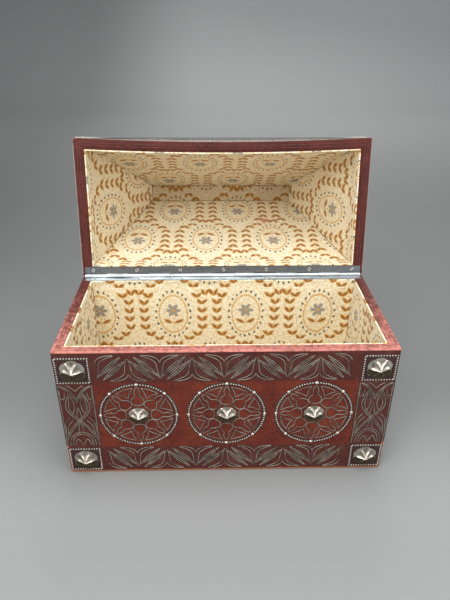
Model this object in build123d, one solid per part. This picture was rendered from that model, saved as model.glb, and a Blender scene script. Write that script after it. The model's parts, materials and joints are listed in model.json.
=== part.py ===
"""Leather covered jewellery casket with a deep hipped lid, shown with the lid open on its stop.

Millimetres. Origin: middle of the underside. +X to the right, +Y to the back, +Z up.
The lid is built closed, in the same frame, and then swung open about the hinge pin.
"""
import os
from math import atan2, cos, pi, radians, sin, tan

from build123d import *

# ---------------------------------------------------------------- driving dimensions
WIDTH = 254.0            # outside of the leather, along X
DEPTH = 120.5            # outside of the leather, along Y
BASE_HEIGHT = 119.0      # underside to the top of the base's rim
LEATHER = 1.4            # leather thickness, also of the rim strips
LINING = 1.6             # cotton over card
BASE_BOARD = 6.4         # side boards of the base
LID_BOARD = 7.2          # upright rails of the lid
SLOPE_BOARD = 4.4        # thinner boards of the lid's slopes and top
UNDERSIDE = 1.0          # cover under the bottom board
BOTTOM_BOARD = 6.4

RIM_GAP = 0.4            # between the two rims when the lid is closed
OPEN_ANGLE = 101.75      # closed to open, in degrees, where the stop lugs meet
LID_WALL_INNER = 22.8    # height of the upright part of the lid, inside
LID_INNER_HEIGHT = 126.0  # rim to the flat panel, inside
SLOPE_RUN = 42.0         # plan distance that each slope leans in

HINGE_LENGTH = 250.0
KNUCKLES = 13            # odd ones out belong to the base
KNUCKLE_GAP = 0.3
KNUCKLE_RADIUS = 2.2
PIN_RADIUS = 1.0
PIN_CLEARANCE = 0.05
BARREL_RECESS = 2.6      # radius cleared round the barrel in wood and leather
LEAF_THICKNESS = 0.9
LEAF_MARGIN = 0.1        # leaf edge to lining
LUG_RADIUS = 4.8         # stop lugs behind the barrel
LUG_LENGTH = 12.0
LUG_BACKLASH = 0.4       # degrees, on each side of the plane where two lugs meet
LUGS_AT = (1, 5, 8, 12)  # knuckle joints that carry a pair of lugs
SCREWS = 7
SCREW_PITCH = 39.2
SCREW_HEAD_RADIUS = 1.9
SCREW_SHANK_RADIUS = 0.8
SCREW_LENGTH = 8.0
SLOT_WIDTH = 0.5
SLOT_DEPTH = 0.4

MEDALLION_PITCH = 67.5   # centre to centre, along the front
MEDALLION_HEIGHT = 60.3  # centre above the underside
RING_RADIUS = 29.3       # beaded ring round a medallion
RING_WIDTH = 1.4
RING_PROUD = 0.6
PINS_PER_RING = 8
RING_PIN_RADIUS = 1.2
RING_PIN_PROUD = 1.1
SQUARE_CENTRE = 14.3     # corner square: its centre from the upright corner of the case
SQUARE_HEIGHTS = (15.0, 102.7)
CORNER_STUD_RADIUS = 9.5
CORNER_STUD_PROUD = 6.0
BOSS_RADIUS = 8.0
BOSS_PROUD = 6.0
STUD_PETALS = 6
PETAL_WAIST = 0.88       # valley radius over petal radius
STUD_EDGE = 0.7          # thickness of a stud at its rim
SHANK_RADIUS = 0.8
SHANK_LENGTH = 5.4

LID_MEDALLION_PITCH = 62.0
LID_RING_RADIUS = 26.0
LID_MEDALLION_UP = 44.0  # distance of the centre up the slope from the knee

# ---------------------------------------------------------------- worked out from them
BASE_WALL = LINING + BASE_BOARD + LEATHER
LID_WALL = LINING + LID_BOARD + LEATHER
HALF_WIDTH = WIDTH / 2
HALF_DEPTH = DEPTH / 2
LID_RIM = BASE_HEIGHT + RIM_GAP
HINGE_Y = HALF_DEPTH
HINGE_Z = BASE_HEIGHT + RIM_GAP / 2
FLOOR = UNDERSIDE + BOTTOM_BOARD
SLOPE_RISE = LID_INNER_HEIGHT - LID_WALL_INNER
SLOPE_ANGLE = atan2(SLOPE_RISE, SLOPE_RUN)
TOP_RATE = tan(SLOPE_ANGLE / 2)   # top half size gained per mm of outward offset
SIDES = ("front", "back", "left", "right")

# how far each surface of the lid's layers lies from the lining's face: on its walls, on its slopes
FACE = (0.0, 0.0)
CARD = (LINING, LINING)
BOARD = (LINING + LID_BOARD, LINING + SLOPE_BOARD)
SKIN = (LID_WALL, LINING + SLOPE_BOARD + LEATHER)


# ---------------------------------------------------------------- small helpers
def polyhedron(points, faces):
    """A closed solid from its corner points and the point numbers of each flat face."""
    return Solid(Shell([Face(Wire.make_polygon([points[i] for i in face])) for face in faces]))


def panel(outer, inner):
    """A flat panel between two four-sided outlines, with mitred edges."""
    sides = [(i, (i + 1) % 4, 4 + (i + 1) % 4, 4 + i) for i in range(4)]
    return polyhedron(list(outer) + list(inner), [(0, 1, 2, 3), (7, 6, 5, 4)] + sides)


def side_points(side, half_x, half_y, z):
    """The two corners of a rectangle at height z that belong to one side of the case."""
    corners = {
        "front": ((-half_x, -half_y), (half_x, -half_y)),
        "right": ((half_x, -half_y), (half_x, half_y)),
        "back": ((half_x, half_y), (-half_x, half_y)),
        "left": ((-half_x, half_y), (-half_x, -half_y)),
    }[side]
    return [(x, y, z) for x, y in corners]


def block(low, high):
    """A box from its lowest to its highest corner."""
    size = [high[i] - low[i] for i in range(3)]
    middle = [(high[i] + low[i]) / 2 for i in range(3)]
    return Pos(*middle) * Box(*size)


def frame_ring(half_x, half_y, width, low, high):
    """A flat rectangular ring, its outside at half_x and half_y."""
    outside = block((-half_x, -half_y, low), (half_x, half_y, high))
    hole = block((width - half_x, width - half_y, low - 1), (half_x - width, half_y - width, high + 1))
    return outside - hole


def rod(radius, x0, x1, y, z):
    """A round bar along X."""
    return Pos((x0 + x1) / 2, y, z) * Rot(0, 90, 0) * Cylinder(radius, x1 - x0)


def barrel_space():
    """The round channel that the hinge's barrel needs in wood and leather."""
    half = HINGE_LENGTH / 2 + KNUCKLE_GAP
    return rod(BARREL_RECESS, -half, half, HINGE_Y, HINGE_Z)


def save(name, shape):
    """Write one named piece, a single solid or a group of separate solids."""
    solids = shape.solids()
    piece = solids[0] if len(solids) == 1 else Compound(solids)
    piece.label = name
    export_step(piece, f"parts/{name}.step")
    return piece


def opened(shape):
    """Swing a piece of the lid from closed to its stop."""
    return shape.rotate(Axis((0, HINGE_Y, HINGE_Z), (1, 0, 0)), -OPEN_ANGLE)


# ---------------------------------------------------------------- walls of the base and the lid
def base_wall(side, near, far, low, high):
    """A base wall layer between two offsets from the lining's face."""
    def outline(offset):
        half_x = HALF_WIDTH - BASE_WALL + offset
        half_y = HALF_DEPTH - BASE_WALL + offset
        bottom = side_points(side, half_x, half_y, low)
        top = side_points(side, half_x, half_y, high)
        return bottom + top[::-1]
    return panel(outline(far), outline(near))


def lid_levels(surface):
    """Half sizes and heights of the lid's rim, knee and top, for one surface of its layers."""
    wall, slope = surface
    half_x = HALF_WIDTH - LID_WALL + wall
    half_y = HALF_DEPTH - LID_WALL + wall
    knee = LID_RIM + LID_WALL_INNER + (slope - wall * sin(SLOPE_ANGLE)) / cos(SLOPE_ANGLE)
    top_x = HALF_WIDTH - LID_WALL - SLOPE_RUN + slope * TOP_RATE
    top_y = HALF_DEPTH - LID_WALL - SLOPE_RUN + slope * TOP_RATE
    return (half_x, half_y), knee, (top_x, top_y), LID_RIM + LID_INNER_HEIGHT + slope


def lid_wall(side, near, far, low):
    """The upright stretch of one lid layer."""
    def outline(surface):
        (half_x, half_y), knee, _, _ = lid_levels(surface)
        return side_points(side, half_x, half_y, low) + side_points(side, half_x, half_y, knee)[::-1]
    return panel(outline(far), outline(near))


def lid_slope(side, near, far):
    """The sloping stretch of one lid layer."""
    def outline(surface):
        (half_x, half_y), knee, (top_x, top_y), top = lid_levels(surface)
        return side_points(side, half_x, half_y, knee) + side_points(side, top_x, top_y, top)[::-1]
    return panel(outline(far), outline(near))


def lid_top(near, far):
    """The flat top of one lid layer."""
    def outline(surface):
        _, _, (top_x, top_y), top = lid_levels(surface)
        return side_points("front", top_x, top_y, top) + side_points("back", top_x, top_y, top)
    return panel(outline(far), outline(near))


# ---------------------------------------------------------------- studs, rings and pins
def faceted_stud(radius, proud):
    """A petalled pyramid on its nail, standing up from the XY plane."""
    count = 2 * STUD_PETALS
    rim = []
    for i in range(count):
        reach = radius if i % 2 == 0 else radius * PETAL_WAIST
        angle = pi / 2 + 2 * pi * i / count
        rim.append((reach * cos(angle), reach * sin(angle)))
    low = [(x, y, 0.0) for x, y in rim]
    high = [(x, y, STUD_EDGE) for x, y in rim]
    apex = 2 * count
    faces = [tuple(range(count - 1, -1, -1))]
    for i in range(count):
        j = (i + 1) % count
        faces += [(i, j, count + j, count + i), (count + i, count + j, apex)]
    head = polyhedron(low + high + [(0.0, 0.0, proud)], faces)
    shank = Pos(0, 0, STUD_EDGE / 2 - SHANK_LENGTH / 2) * Cylinder(SHANK_RADIUS, SHANK_LENGTH + STUD_EDGE)
    return head + shank


def ring(radius):
    """A flat ring standing on the XY plane."""
    outer = Cylinder(radius + RING_WIDTH / 2, RING_PROUD)
    return Pos(0, 0, RING_PROUD / 2) * (outer - Cylinder(radius - RING_WIDTH / 2, RING_PROUD))


def ring_with_pin_gaps(radius):
    """A medallion ring, cut where its pins stand in it."""
    shape = ring(radius)
    for i in range(PINS_PER_RING):
        angle = 2 * pi * i / PINS_PER_RING
        shape -= Pos(radius * cos(angle), radius * sin(angle), 0) * Cylinder(RING_PIN_RADIUS, 4 * RING_PROUD)
    return shape


def ring_pins(radius):
    """The round pins of one medallion."""
    pins = []
    for i in range(PINS_PER_RING):
        angle = 2 * pi * i / PINS_PER_RING
        place = Pos(radius * cos(angle), radius * sin(angle), 0)
        head = Pos(0, 0, RING_PIN_PROUD / 2) * Cylinder(RING_PIN_RADIUS, RING_PIN_PROUD)
        pins.append(place * chamfer(head.edges().group_by(Axis.Z)[-1], RING_PIN_PROUD / 2))
    return pins


def on_base(side, along, height):
    """A plane on the outside of a base wall, looking outwards."""
    planes = {
        "front": Plane((along, -HALF_DEPTH, height), x_dir=(1, 0, 0), z_dir=(0, -1, 0)),
        "right": Plane((HALF_WIDTH, along, height), x_dir=(0, 1, 0), z_dir=(1, 0, 0)),
        "left": Plane((-HALF_WIDTH, along, height), x_dir=(0, -1, 0), z_dir=(-1, 0, 0)),
    }
    return planes[side]


def on_slope(side, along, up):
    """A plane on the outside of a lid slope, up the slope from the knee, looking outwards."""
    (half_x, half_y), knee, _, _ = lid_levels(SKIN)
    inward, rise = up * cos(SLOPE_ANGLE), up * sin(SLOPE_ANGLE)
    lean, face = cos(SLOPE_ANGLE), sin(SLOPE_ANGLE)
    planes = {
        "front": Plane((along, inward - half_y, knee + rise), x_dir=(1, 0, 0), z_dir=(0, -face, lean)),
        "right": Plane((half_x - inward, along, knee + rise), x_dir=(0, 1, 0), z_dir=(face, 0, lean)),
        "left": Plane((inward - half_x, along, knee + rise), x_dir=(0, -1, 0), z_dir=(-face, 0, lean)),
    }
    return planes[side]


def at(planes, shapes_of):
    """Copies of a shape, or of a list of shapes, on each plane, as one group."""
    solids = []
    for plane in planes:
        made = shapes_of()
        for shape in made if isinstance(made, list) else [made]:
            solids += (plane.location * shape).solids()
    return Compound(solids)


# ---------------------------------------------------------------- hinge
def knuckle_span(index):
    """Start and end of one knuckle along X."""
    length = (HINGE_LENGTH - (KNUCKLES - 1) * KNUCKLE_GAP) / KNUCKLES
    start = -HINGE_LENGTH / 2 + index * (length + KNUCKLE_GAP)
    return start, start + length


def leaf_near_edge(wall):
    """Y of a leaf's front edge, just clear of the lining."""
    return HALF_DEPTH - wall + LINING + LEAF_MARGIN


def leaf_plate(wall, low, high, short=BARREL_RECESS):
    """The flat of a leaf, from the lining's edge to a distance short of the hinge pin."""
    half = HINGE_LENGTH / 2
    return block((-half, leaf_near_edge(wall), low), (half, HINGE_Y - short, high))


def stop_lug(joint, own, up):
    """A wedge behind the barrel, held by the knuckle on its own side of a knuckle joint."""
    middle = (knuckle_span(joint - 1)[1] + knuckle_span(joint)[0]) / 2
    half_open = radians(OPEN_ANGLE / 2 + LUG_BACKLASH)
    section = []
    for reach, angle in ((BARREL_RECESS, pi / 2), (LUG_RADIUS, pi / 2),
                         (LUG_RADIUS, half_open), (BARREL_RECESS, half_open)):
        y, z = reach * cos(angle) + (0.1 if angle == pi / 2 else 0), reach * sin(angle)
        section.append((y, z if up else -z))
    lug = x_prism(section, middle - LUG_LENGTH / 2, middle + LUG_LENGTH / 2)
    start, end = knuckle_span(own)
    x0, x1 = max(start, middle - LUG_LENGTH / 2), min(end, middle + LUG_LENGTH / 2)
    low, high = half_open + radians(6), pi / 2 - radians(3)
    root = [(r * cos(a), r * sin(a) if up else -r * sin(a))
            for r, a in ((PIN_RADIUS * 1.7, low), (PIN_RADIUS * 1.7, high),
                         (BARREL_RECESS * 1.1, high), (BARREL_RECESS * 1.1, low))]
    return lug + x_prism(root, x0, x1)


def x_prism(section, x0, x1):
    """A prism along X from a section given in Y and Z, measured from the hinge pin."""
    near = [(x0, HINGE_Y + y, HINGE_Z + z) for y, z in section]
    far = [(x1, HINGE_Y + y, HINGE_Z + z) for y, z in section]
    return panel(far, near)


def hinge_leaf(wall, low, high, first, bore, up):
    """One leaf with every second knuckle, countersunk screw holes and its stop lugs."""
    leaf = leaf_plate(wall, low, high)
    for index in range(first, KNUCKLES, 2):
        x0, x1 = knuckle_span(index)
        web = block((x0, HINGE_Y - BARREL_RECESS - 0.1, low), (x1, HINGE_Y - PIN_RADIUS - 0.2, high))
        leaf += rod(KNUCKLE_RADIUS, x0, x1, HINGE_Y, HINGE_Z)
        leaf += web
    for joint in LUGS_AT:
        own = joint if joint % 2 == first else joint - 1
        leaf += stop_lug(joint, own, up)
    half = HINGE_LENGTH / 2 + 1
    leaf -= rod(bore, -half, half, HINGE_Y, HINGE_Z)
    for screw in screws(wall, low, high, up):
        leaf -= screw
    return leaf


def screw_places(wall):
    """X and Y of each screw of a leaf."""
    y = (leaf_near_edge(wall) + HINGE_Y - BARREL_RECESS) / 2
    return [((i - (SCREWS - 1) / 2) * SCREW_PITCH, y) for i in range(SCREWS)]


def screws(wall, low, high, up, slotted=False):
    """Countersunk screws, their heads flush with the face of the leaf."""
    face, into = (low, 1) if up else (high, -1)
    made = []
    for i, (x, y) in enumerate(screw_places(wall)):
        head = Cone(SCREW_SHANK_RADIUS, SCREW_HEAD_RADIUS, LEAF_THICKNESS)
        head = Rot(180 if up else 0, 0, 0) * head
        head = Pos(x, y, face + into * LEAF_THICKNESS / 2) * head
        length = SCREW_LENGTH - LEAF_THICKNESS / 2
        shank = Cylinder(SCREW_SHANK_RADIUS, length)
        shank = Pos(x, y, face + into * (LEAF_THICKNESS / 2 + length / 2)) * shank
        screw = head + shank
        if slotted:
            slot = Box(3 * SCREW_HEAD_RADIUS, SLOT_WIDTH, SLOT_DEPTH)
            screw -= Pos(x, y, face + into * SLOT_DEPTH / 2) * Rot(0, 0, 37 * i + 20) * slot
        made.append(screw)
    return made


# ---------------------------------------------------------------- sub-assemblies
def build_base_carcass():
    """Boards, leather and lining of the base."""
    space = barrel_space()
    board, skin = LINING + BASE_BOARD, BASE_WALL
    rim_low = BASE_HEIGHT - LEATHER
    for side in SIDES:
        wood = base_wall(side, LINING, board, UNDERSIDE, rim_low)
        save(f"base_{side}_board", wood - space if side == "back" else wood)
        leather = base_wall(side, board, skin, 0, rim_low)
        save(f"base_{side}_leather", leather - space if side == "back" else leather)
        save(f"base_{side}_lining", base_wall(side, 0, LINING, FLOOR, BASE_HEIGHT))
    half_x, half_y = HALF_WIDTH - LEATHER, HALF_DEPTH - LEATHER
    save("base_underside_cover", block((-half_x, -half_y, 0), (half_x, half_y, UNDERSIDE)))
    wood_x, wood_y = half_x - BASE_BOARD, half_y - BASE_BOARD
    save("base_bottom_board", block((-wood_x, -wood_y, UNDERSIDE), (wood_x, wood_y, FLOOR)))
    floor_x, floor_y = HALF_WIDTH - BASE_WALL, HALF_DEPTH - BASE_WALL
    save("base_floor_lining", block((-floor_x, -floor_y, FLOOR), (floor_x, floor_y, FLOOR + LINING)))
    rim = frame_ring(HALF_WIDTH, HALF_DEPTH, BASE_WALL - LINING, rim_low, BASE_HEIGHT) - space
    recess = leaf_plate(BASE_WALL, BASE_HEIGHT - LEAF_THICKNESS, BASE_HEIGHT + 1, short=0)
    save("base_rim_leather", rim - recess)


def build_lid_carcass():
    """Boards, leather and lining of the lid."""
    space = barrel_space()
    rim_high = LID_RIM + LEATHER
    for side in SIDES:
        rail = lid_wall(side, CARD, BOARD, rim_high)
        save(f"lid_{side}_rail", opened(rail - space if side == "back" else rail))
        save(f"lid_{side}_slope_board", opened(lid_slope(side, CARD, BOARD)))
        leather = lid_wall(side, BOARD, SKIN, rim_high) + lid_slope(side, BOARD, SKIN)
        save(f"lid_{side}_leather", opened(leather - space if side == "back" else leather))
        save(f"lid_{side}_wall_lining", opened(lid_wall(side, FACE, CARD, LID_RIM)))
        save(f"lid_{side}_slope_lining", opened(lid_slope(side, FACE, CARD)))
    save("lid_top_board", opened(lid_top(CARD, BOARD)))
    save("lid_top_leather", opened(lid_top(BOARD, SKIN)))
    save("lid_top_lining", opened(lid_top(FACE, CARD)))
    rim = frame_ring(HALF_WIDTH, HALF_DEPTH, LID_WALL - LINING, LID_RIM, rim_high) - space
    recess = leaf_plate(LID_WALL, LID_RIM - 1, LID_RIM + LEAF_THICKNESS, short=0)
    save("lid_rim_leather", opened(rim - recess))


def build_ornament():
    """Studs, bosses, rings and pins of the base and the lid."""
    corner_x, corner_y = HALF_WIDTH - SQUARE_CENTRE, HALF_DEPTH - SQUARE_CENTRE
    front_corners = [on_base("front", x, z) for x in (-corner_x, corner_x) for z in SQUARE_HEIGHTS]
    side_corners = [on_base(side, y, z) for side in ("left", "right")
                    for y in (-corner_y, corner_y) for z in SQUARE_HEIGHTS]
    front = [on_base("front", i * MEDALLION_PITCH, MEDALLION_HEIGHT) for i in (-1, 0, 1)]
    sides = [on_base(side, 0, MEDALLION_HEIGHT) for side in ("left", "right")]
    slopes = [on_slope("front", i * LID_MEDALLION_PITCH, LID_MEDALLION_UP) for i in (-1, 0, 1)]
    slopes += [on_slope(side, 0, LID_MEDALLION_UP) for side in ("left", "right")]

    def corner_stud():
        return faceted_stud(CORNER_STUD_RADIUS, CORNER_STUD_PROUD)

    def boss():
        return faceted_stud(BOSS_RADIUS, BOSS_PROUD)

    save("base_front_corner_studs", at(front_corners, corner_stud))
    save("base_side_corner_studs", at(side_corners, corner_stud))
    save("base_front_bosses", at(front, boss))
    save("base_side_bosses", at(sides, boss))
    save("base_medallion_rings", at(front + sides, lambda: ring_with_pin_gaps(RING_RADIUS)))
    save("base_ring_pins", at(front + sides, lambda: ring_pins(RING_RADIUS)))
    save("lid_slope_bosses", opened(at(slopes, boss)))
    save("lid_medallion_rings", opened(at(slopes, lambda: ring_with_pin_gaps(LID_RING_RADIUS))))
    save("lid_ring_pins", opened(at(slopes, lambda: ring_pins(LID_RING_RADIUS))))


def build_hinge():
    """The piano hinge: two leaves, the pin and the screws."""
    base_low, base_high = BASE_HEIGHT - LEAF_THICKNESS, BASE_HEIGHT
    lid_low, lid_high = LID_RIM, LID_RIM + LEAF_THICKNESS
    running = PIN_RADIUS + PIN_CLEARANCE
    save("hinge_base_leaf", hinge_leaf(BASE_WALL, base_low, base_high, 0, PIN_RADIUS, False))
    save("hinge_lid_leaf", opened(hinge_leaf(LID_WALL, lid_low, lid_high, 1, running, True)))
    save("hinge_pin", rod(PIN_RADIUS, -HINGE_LENGTH / 2, HINGE_LENGTH / 2, HINGE_Y, HINGE_Z))
    base_screws = screws(BASE_WALL, base_low, base_high, False, slotted=True)
    lid_screws = screws(LID_WALL, lid_low, lid_high, True, slotted=True)
    save("hinge_base_screws", Compound([screw.solids()[0] for screw in base_screws]))
    save("hinge_lid_screws", opened(Compound([screw.solids()[0] for screw in lid_screws])))


os.makedirs("parts", exist_ok=True)
build_base_carcass()
build_lid_carcass()
build_ornament()
build_hinge()
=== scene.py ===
"""The looks of a leather covered casket: tooled leather, faceted studs, printed cotton and a piano hinge.

Sizes are in metres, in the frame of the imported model. Ornament is drawn in millimetres on the flat
of each face and then placed. Pieces of the lid are made closed and swung open with the lid's joint.
"""
import json
import logging
import math
from dataclasses import dataclass, field, replace
from enum import Enum
from typing import Callable, Iterable, Sequence

import bmesh
import bpy
from mathutils import Matrix, Vector, noise


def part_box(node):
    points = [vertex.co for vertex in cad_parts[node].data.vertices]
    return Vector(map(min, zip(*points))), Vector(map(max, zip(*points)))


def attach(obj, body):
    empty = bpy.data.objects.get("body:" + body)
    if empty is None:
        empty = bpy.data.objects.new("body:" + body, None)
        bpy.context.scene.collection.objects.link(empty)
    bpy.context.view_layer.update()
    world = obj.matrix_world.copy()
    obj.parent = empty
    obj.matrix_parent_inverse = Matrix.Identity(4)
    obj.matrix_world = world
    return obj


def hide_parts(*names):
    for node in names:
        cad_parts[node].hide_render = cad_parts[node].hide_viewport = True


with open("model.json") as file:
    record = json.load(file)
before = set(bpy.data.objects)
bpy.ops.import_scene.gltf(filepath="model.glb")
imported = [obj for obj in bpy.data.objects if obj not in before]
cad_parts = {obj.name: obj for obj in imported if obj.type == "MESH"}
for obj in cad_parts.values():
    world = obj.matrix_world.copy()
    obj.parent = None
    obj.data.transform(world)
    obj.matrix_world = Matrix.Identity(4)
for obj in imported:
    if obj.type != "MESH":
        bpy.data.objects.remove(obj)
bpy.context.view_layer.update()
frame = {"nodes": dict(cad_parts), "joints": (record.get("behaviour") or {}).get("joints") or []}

LOG = logging.getLogger("casket")
MM = 0.001
TOUCH = 1e-6                 # points nearer than this to a cutting plane lie on it
BEND_STEP = 0.012            # longest stretch of a surface that bends
BOW_DEPTH = 0.0034           # how far the lid's front rim has warped inwards
LEAF_RECESS = 0.0009         # depth of the recess of a hinge leaf
BARREL_CHANNEL = 0.0026      # radius of the channel of the hinge's barrel
BAND_EDGES = (0.028, 0.0915)  # heights between which the leather of the base is not tooled
PANEL_X = 0.099              # the same, along the front and the back
PANEL_Y = 0.0325             # the same, along the two ends
ACROSS, UPWARD = (1.0, 0.0, 0.0), (0.0, 0.0, 1.0)
Point = tuple[float, float]
Triple = tuple[float, float, float]
Colour = Triple
Run = tuple[list[Point], bool, bool]


class Side(Enum):
    """The four upright sides, each with its outward direction."""

    FRONT = (0.0, -1.0)
    RIGHT = (1.0, 0.0)
    BACK = (0.0, 1.0)
    LEFT = (-1.0, 0.0)

    @property
    def outward(self) -> Vector:
        """The side's outward normal."""
        return Vector((self.value[0], self.value[1], 0.0))

    @property
    def along(self) -> Vector:
        """The direction to the right, for someone who faces the side."""
        return Vector((-self.value[1], self.value[0], 0.0))

    @property
    def word(self) -> str:
        """The side's name in node names."""
        return self.name.lower()

    @property
    def wide(self) -> bool:
        """Whether it is one of the two long sides."""
        return self in (Side.FRONT, Side.BACK)

    def corner(self, end: int, half_x: float, half_y: float, z: float) -> Vector:
        """One end of the side at a height.

        Args:
            end: -1 for the left end and 1 for the right end, as seen from outside.
            half_x: Half the rectangle's size along X.
            half_y: Half the rectangle's size along Y.
            z: The height.

        Returns:
            The corner point.
        """
        way = self.outward + self.along * end
        return Vector((way.x * half_x, way.y * half_y, z))


# ---------------------------------------------------------------- materials
@dataclass(frozen=True)
class Term:
    """A number or vector that a node gives, for use in sums."""

    recipe: "Recipe"
    socket: bpy.types.NodeSocket

    def __add__(self, other: object) -> "Term":
        """Sum."""
        return self.recipe.math("ADD", self, other)

    def __sub__(self, other: object) -> "Term":
        """Difference."""
        return self.recipe.math("SUBTRACT", self, other)

    def __rsub__(self, other: object) -> "Term":
        """Difference, the other way round."""
        return self.recipe.math("SUBTRACT", other, self)

    def __mul__(self, other: object) -> "Term":
        """Product."""
        return self.recipe.math("MULTIPLY", self, other)

    def __truediv__(self, other: object) -> "Term":
        """Quotient."""
        return self.recipe.math("DIVIDE", self, other)

    def __abs__(self) -> "Term":
        """Size without sign."""
        return self.recipe.math("ABSOLUTE", self)

    __radd__ = __add__
    __rmul__ = __mul__


class Recipe:
    """Builds one material's nodes from short expressions."""

    def __init__(self, name: str) -> None:
        """Starts an empty material with its shader."""
        self.material = bpy.data.materials.new(name)
        self.material.use_nodes = True
        self.tree = self.material.node_tree
        self.shader = self.tree.nodes["Principled BSDF"]

    def node(self, kind: str, **settings: object) -> bpy.types.Node:
        """Adds a node.

        Args:
            kind: The node's type name, without the common prefix.
            settings: Its properties.

        Returns:
            The node.
        """
        made = self.tree.nodes.new("ShaderNode" + kind)
        for key, value in settings.items():
            setattr(made, key, value)
        return made

    def feed(self, value: object, socket: bpy.types.NodeSocket) -> None:
        """Links or sets an input."""
        if isinstance(value, Term):
            self.tree.links.new(value.socket, socket)
        else:
            socket.default_value = value

    def math(self, operation: str, *values: object) -> Term:
        """A Math node on its values."""
        made = self.node("Math", operation=operation)
        for value, socket in zip(values, made.inputs):
            self.feed(value, socket)
        return Term(self, made.outputs[0])

    def place(self) -> Term:
        """Object coordinates."""
        return Term(self, self.node("TexCoord").outputs["Object"])

    def parts(self, vector: Term) -> tuple[Term, Term, Term]:
        """The three parts of a vector."""
        made = self.node("SeparateXYZ")
        self.feed(vector, made.inputs[0])
        return tuple(Term(self, socket) for socket in made.outputs)

    def stretched(self, scale: Triple) -> Term:
        """Object coordinates, scaled so that a pattern runs long in one direction."""
        made = self.node("Mapping")
        made.inputs["Scale"].default_value = scale
        self.feed(self.place(), made.inputs["Vector"])
        return Term(self, made.outputs[0])

    def cloth_place(self) -> tuple[Term, Term]:
        """Both parts of the piece's own map, in millimetres of cloth."""
        return self.parts(Term(self, self.node("UVMap", uv_map="cloth").outputs[0]))[:2]

    def painted(self, name: str) -> Term:
        """A value painted on the mesh."""
        return Term(self, self.node("Attribute", attribute_name=name).outputs["Fac"])

    def from_hinge(self) -> Term:
        """Distance from the hinge's axis."""
        _, y, z = self.parts(self.place())
        _, pin_y, pin_z = frame["joints"][0]["pos_m"]
        dy, dz = y - pin_y, z - pin_z
        return self.math("SQRT", dy * dy + dz * dz)

    def noise(self, size: float, detail: float = 3.0, rough: float = 0.55, at: Term | None = None) -> Term:
        """Cloudy noise from 0 to 1.

        Args:
            size: Rough size of a cloud, in metres.
            detail: Layers of finer noise.
            rough: Strength of the finer layers.
            at: Where it is read, object coordinates if left out.

        Returns:
            The noise.
        """
        made = self.node("TexNoise")
        self.feed(at or self.place(), made.inputs["Vector"])
        for key, value in (("Scale", 1.0 / size), ("Detail", detail), ("Roughness", rough)):
            made.inputs[key].default_value = value
        return Term(self, made.outputs["Fac"])

    def cells(self, size: float, feature: str = "F1") -> Term:
        """Distance to the nearest grain of a pebbled surface."""
        made = self.node("TexVoronoi", feature=feature)
        self.feed(self.place(), made.inputs["Vector"])
        made.inputs["Scale"].default_value = 1.0 / size
        return Term(self, made.outputs["Distance"])

    def step(self, value: object, low: float, high: float) -> Term:
        """A smooth step from 0 at low to 1 at high."""
        made = self.node("MapRange", interpolation_type="SMOOTHSTEP")
        for item, socket in zip((value, low, high, 0.0, 1.0), made.inputs):
            self.feed(item, socket)
        return Term(self, made.outputs[0])

    def most(self, *terms: Term) -> Term:
        """The largest of several terms."""
        best = terms[0]
        for term in terms[1:]:
            best = self.math("MAXIMUM", best, term)
        return best

    def blend(self, share: object, first: object, second: object) -> Term:
        """A mix of two colours.

        Args:
            share: How much of the second colour.
            first: Colour or term.
            second: Colour or term.

        Returns:
            The mixed colour.
        """
        made = self.node("Mix", data_type="RGBA")
        self.feed(share, made.inputs["Factor"])
        for value, key in ((first, "A"), (second, "B")):
            socket = [s for s in made.inputs if s.name == key and s.type == "RGBA"][0]
            self.feed(value if isinstance(value, Term) else (*value, 1.0), socket)
        return Term(self, [s for s in made.outputs if s.type == "RGBA"][0])

    def bump(self, height: Term, depth: float, strength: float = 1.0, below: Term | None = None) -> Term:
        """A bump of the given depth, in metres, laid on another one."""
        made = self.node("Bump")
        made.inputs["Strength"].default_value = strength
        made.inputs["Distance"].default_value = depth
        self.feed(height, made.inputs["Height"])
        if below is not None:
            self.feed(below, made.inputs["Normal"])
        return Term(self, made.outputs[0])

    def finish(self, **inputs: object) -> bpy.types.Material:
        """Feeds the shader's inputs, named with underscores for spaces."""
        for key, value in inputs.items():
            socket = self.shader.inputs[key.replace("_", " ")]
            if isinstance(value, tuple) and len(value) == 3:
                value = (*value, 1.0)
            self.feed(value, socket)
        return self.material


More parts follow.
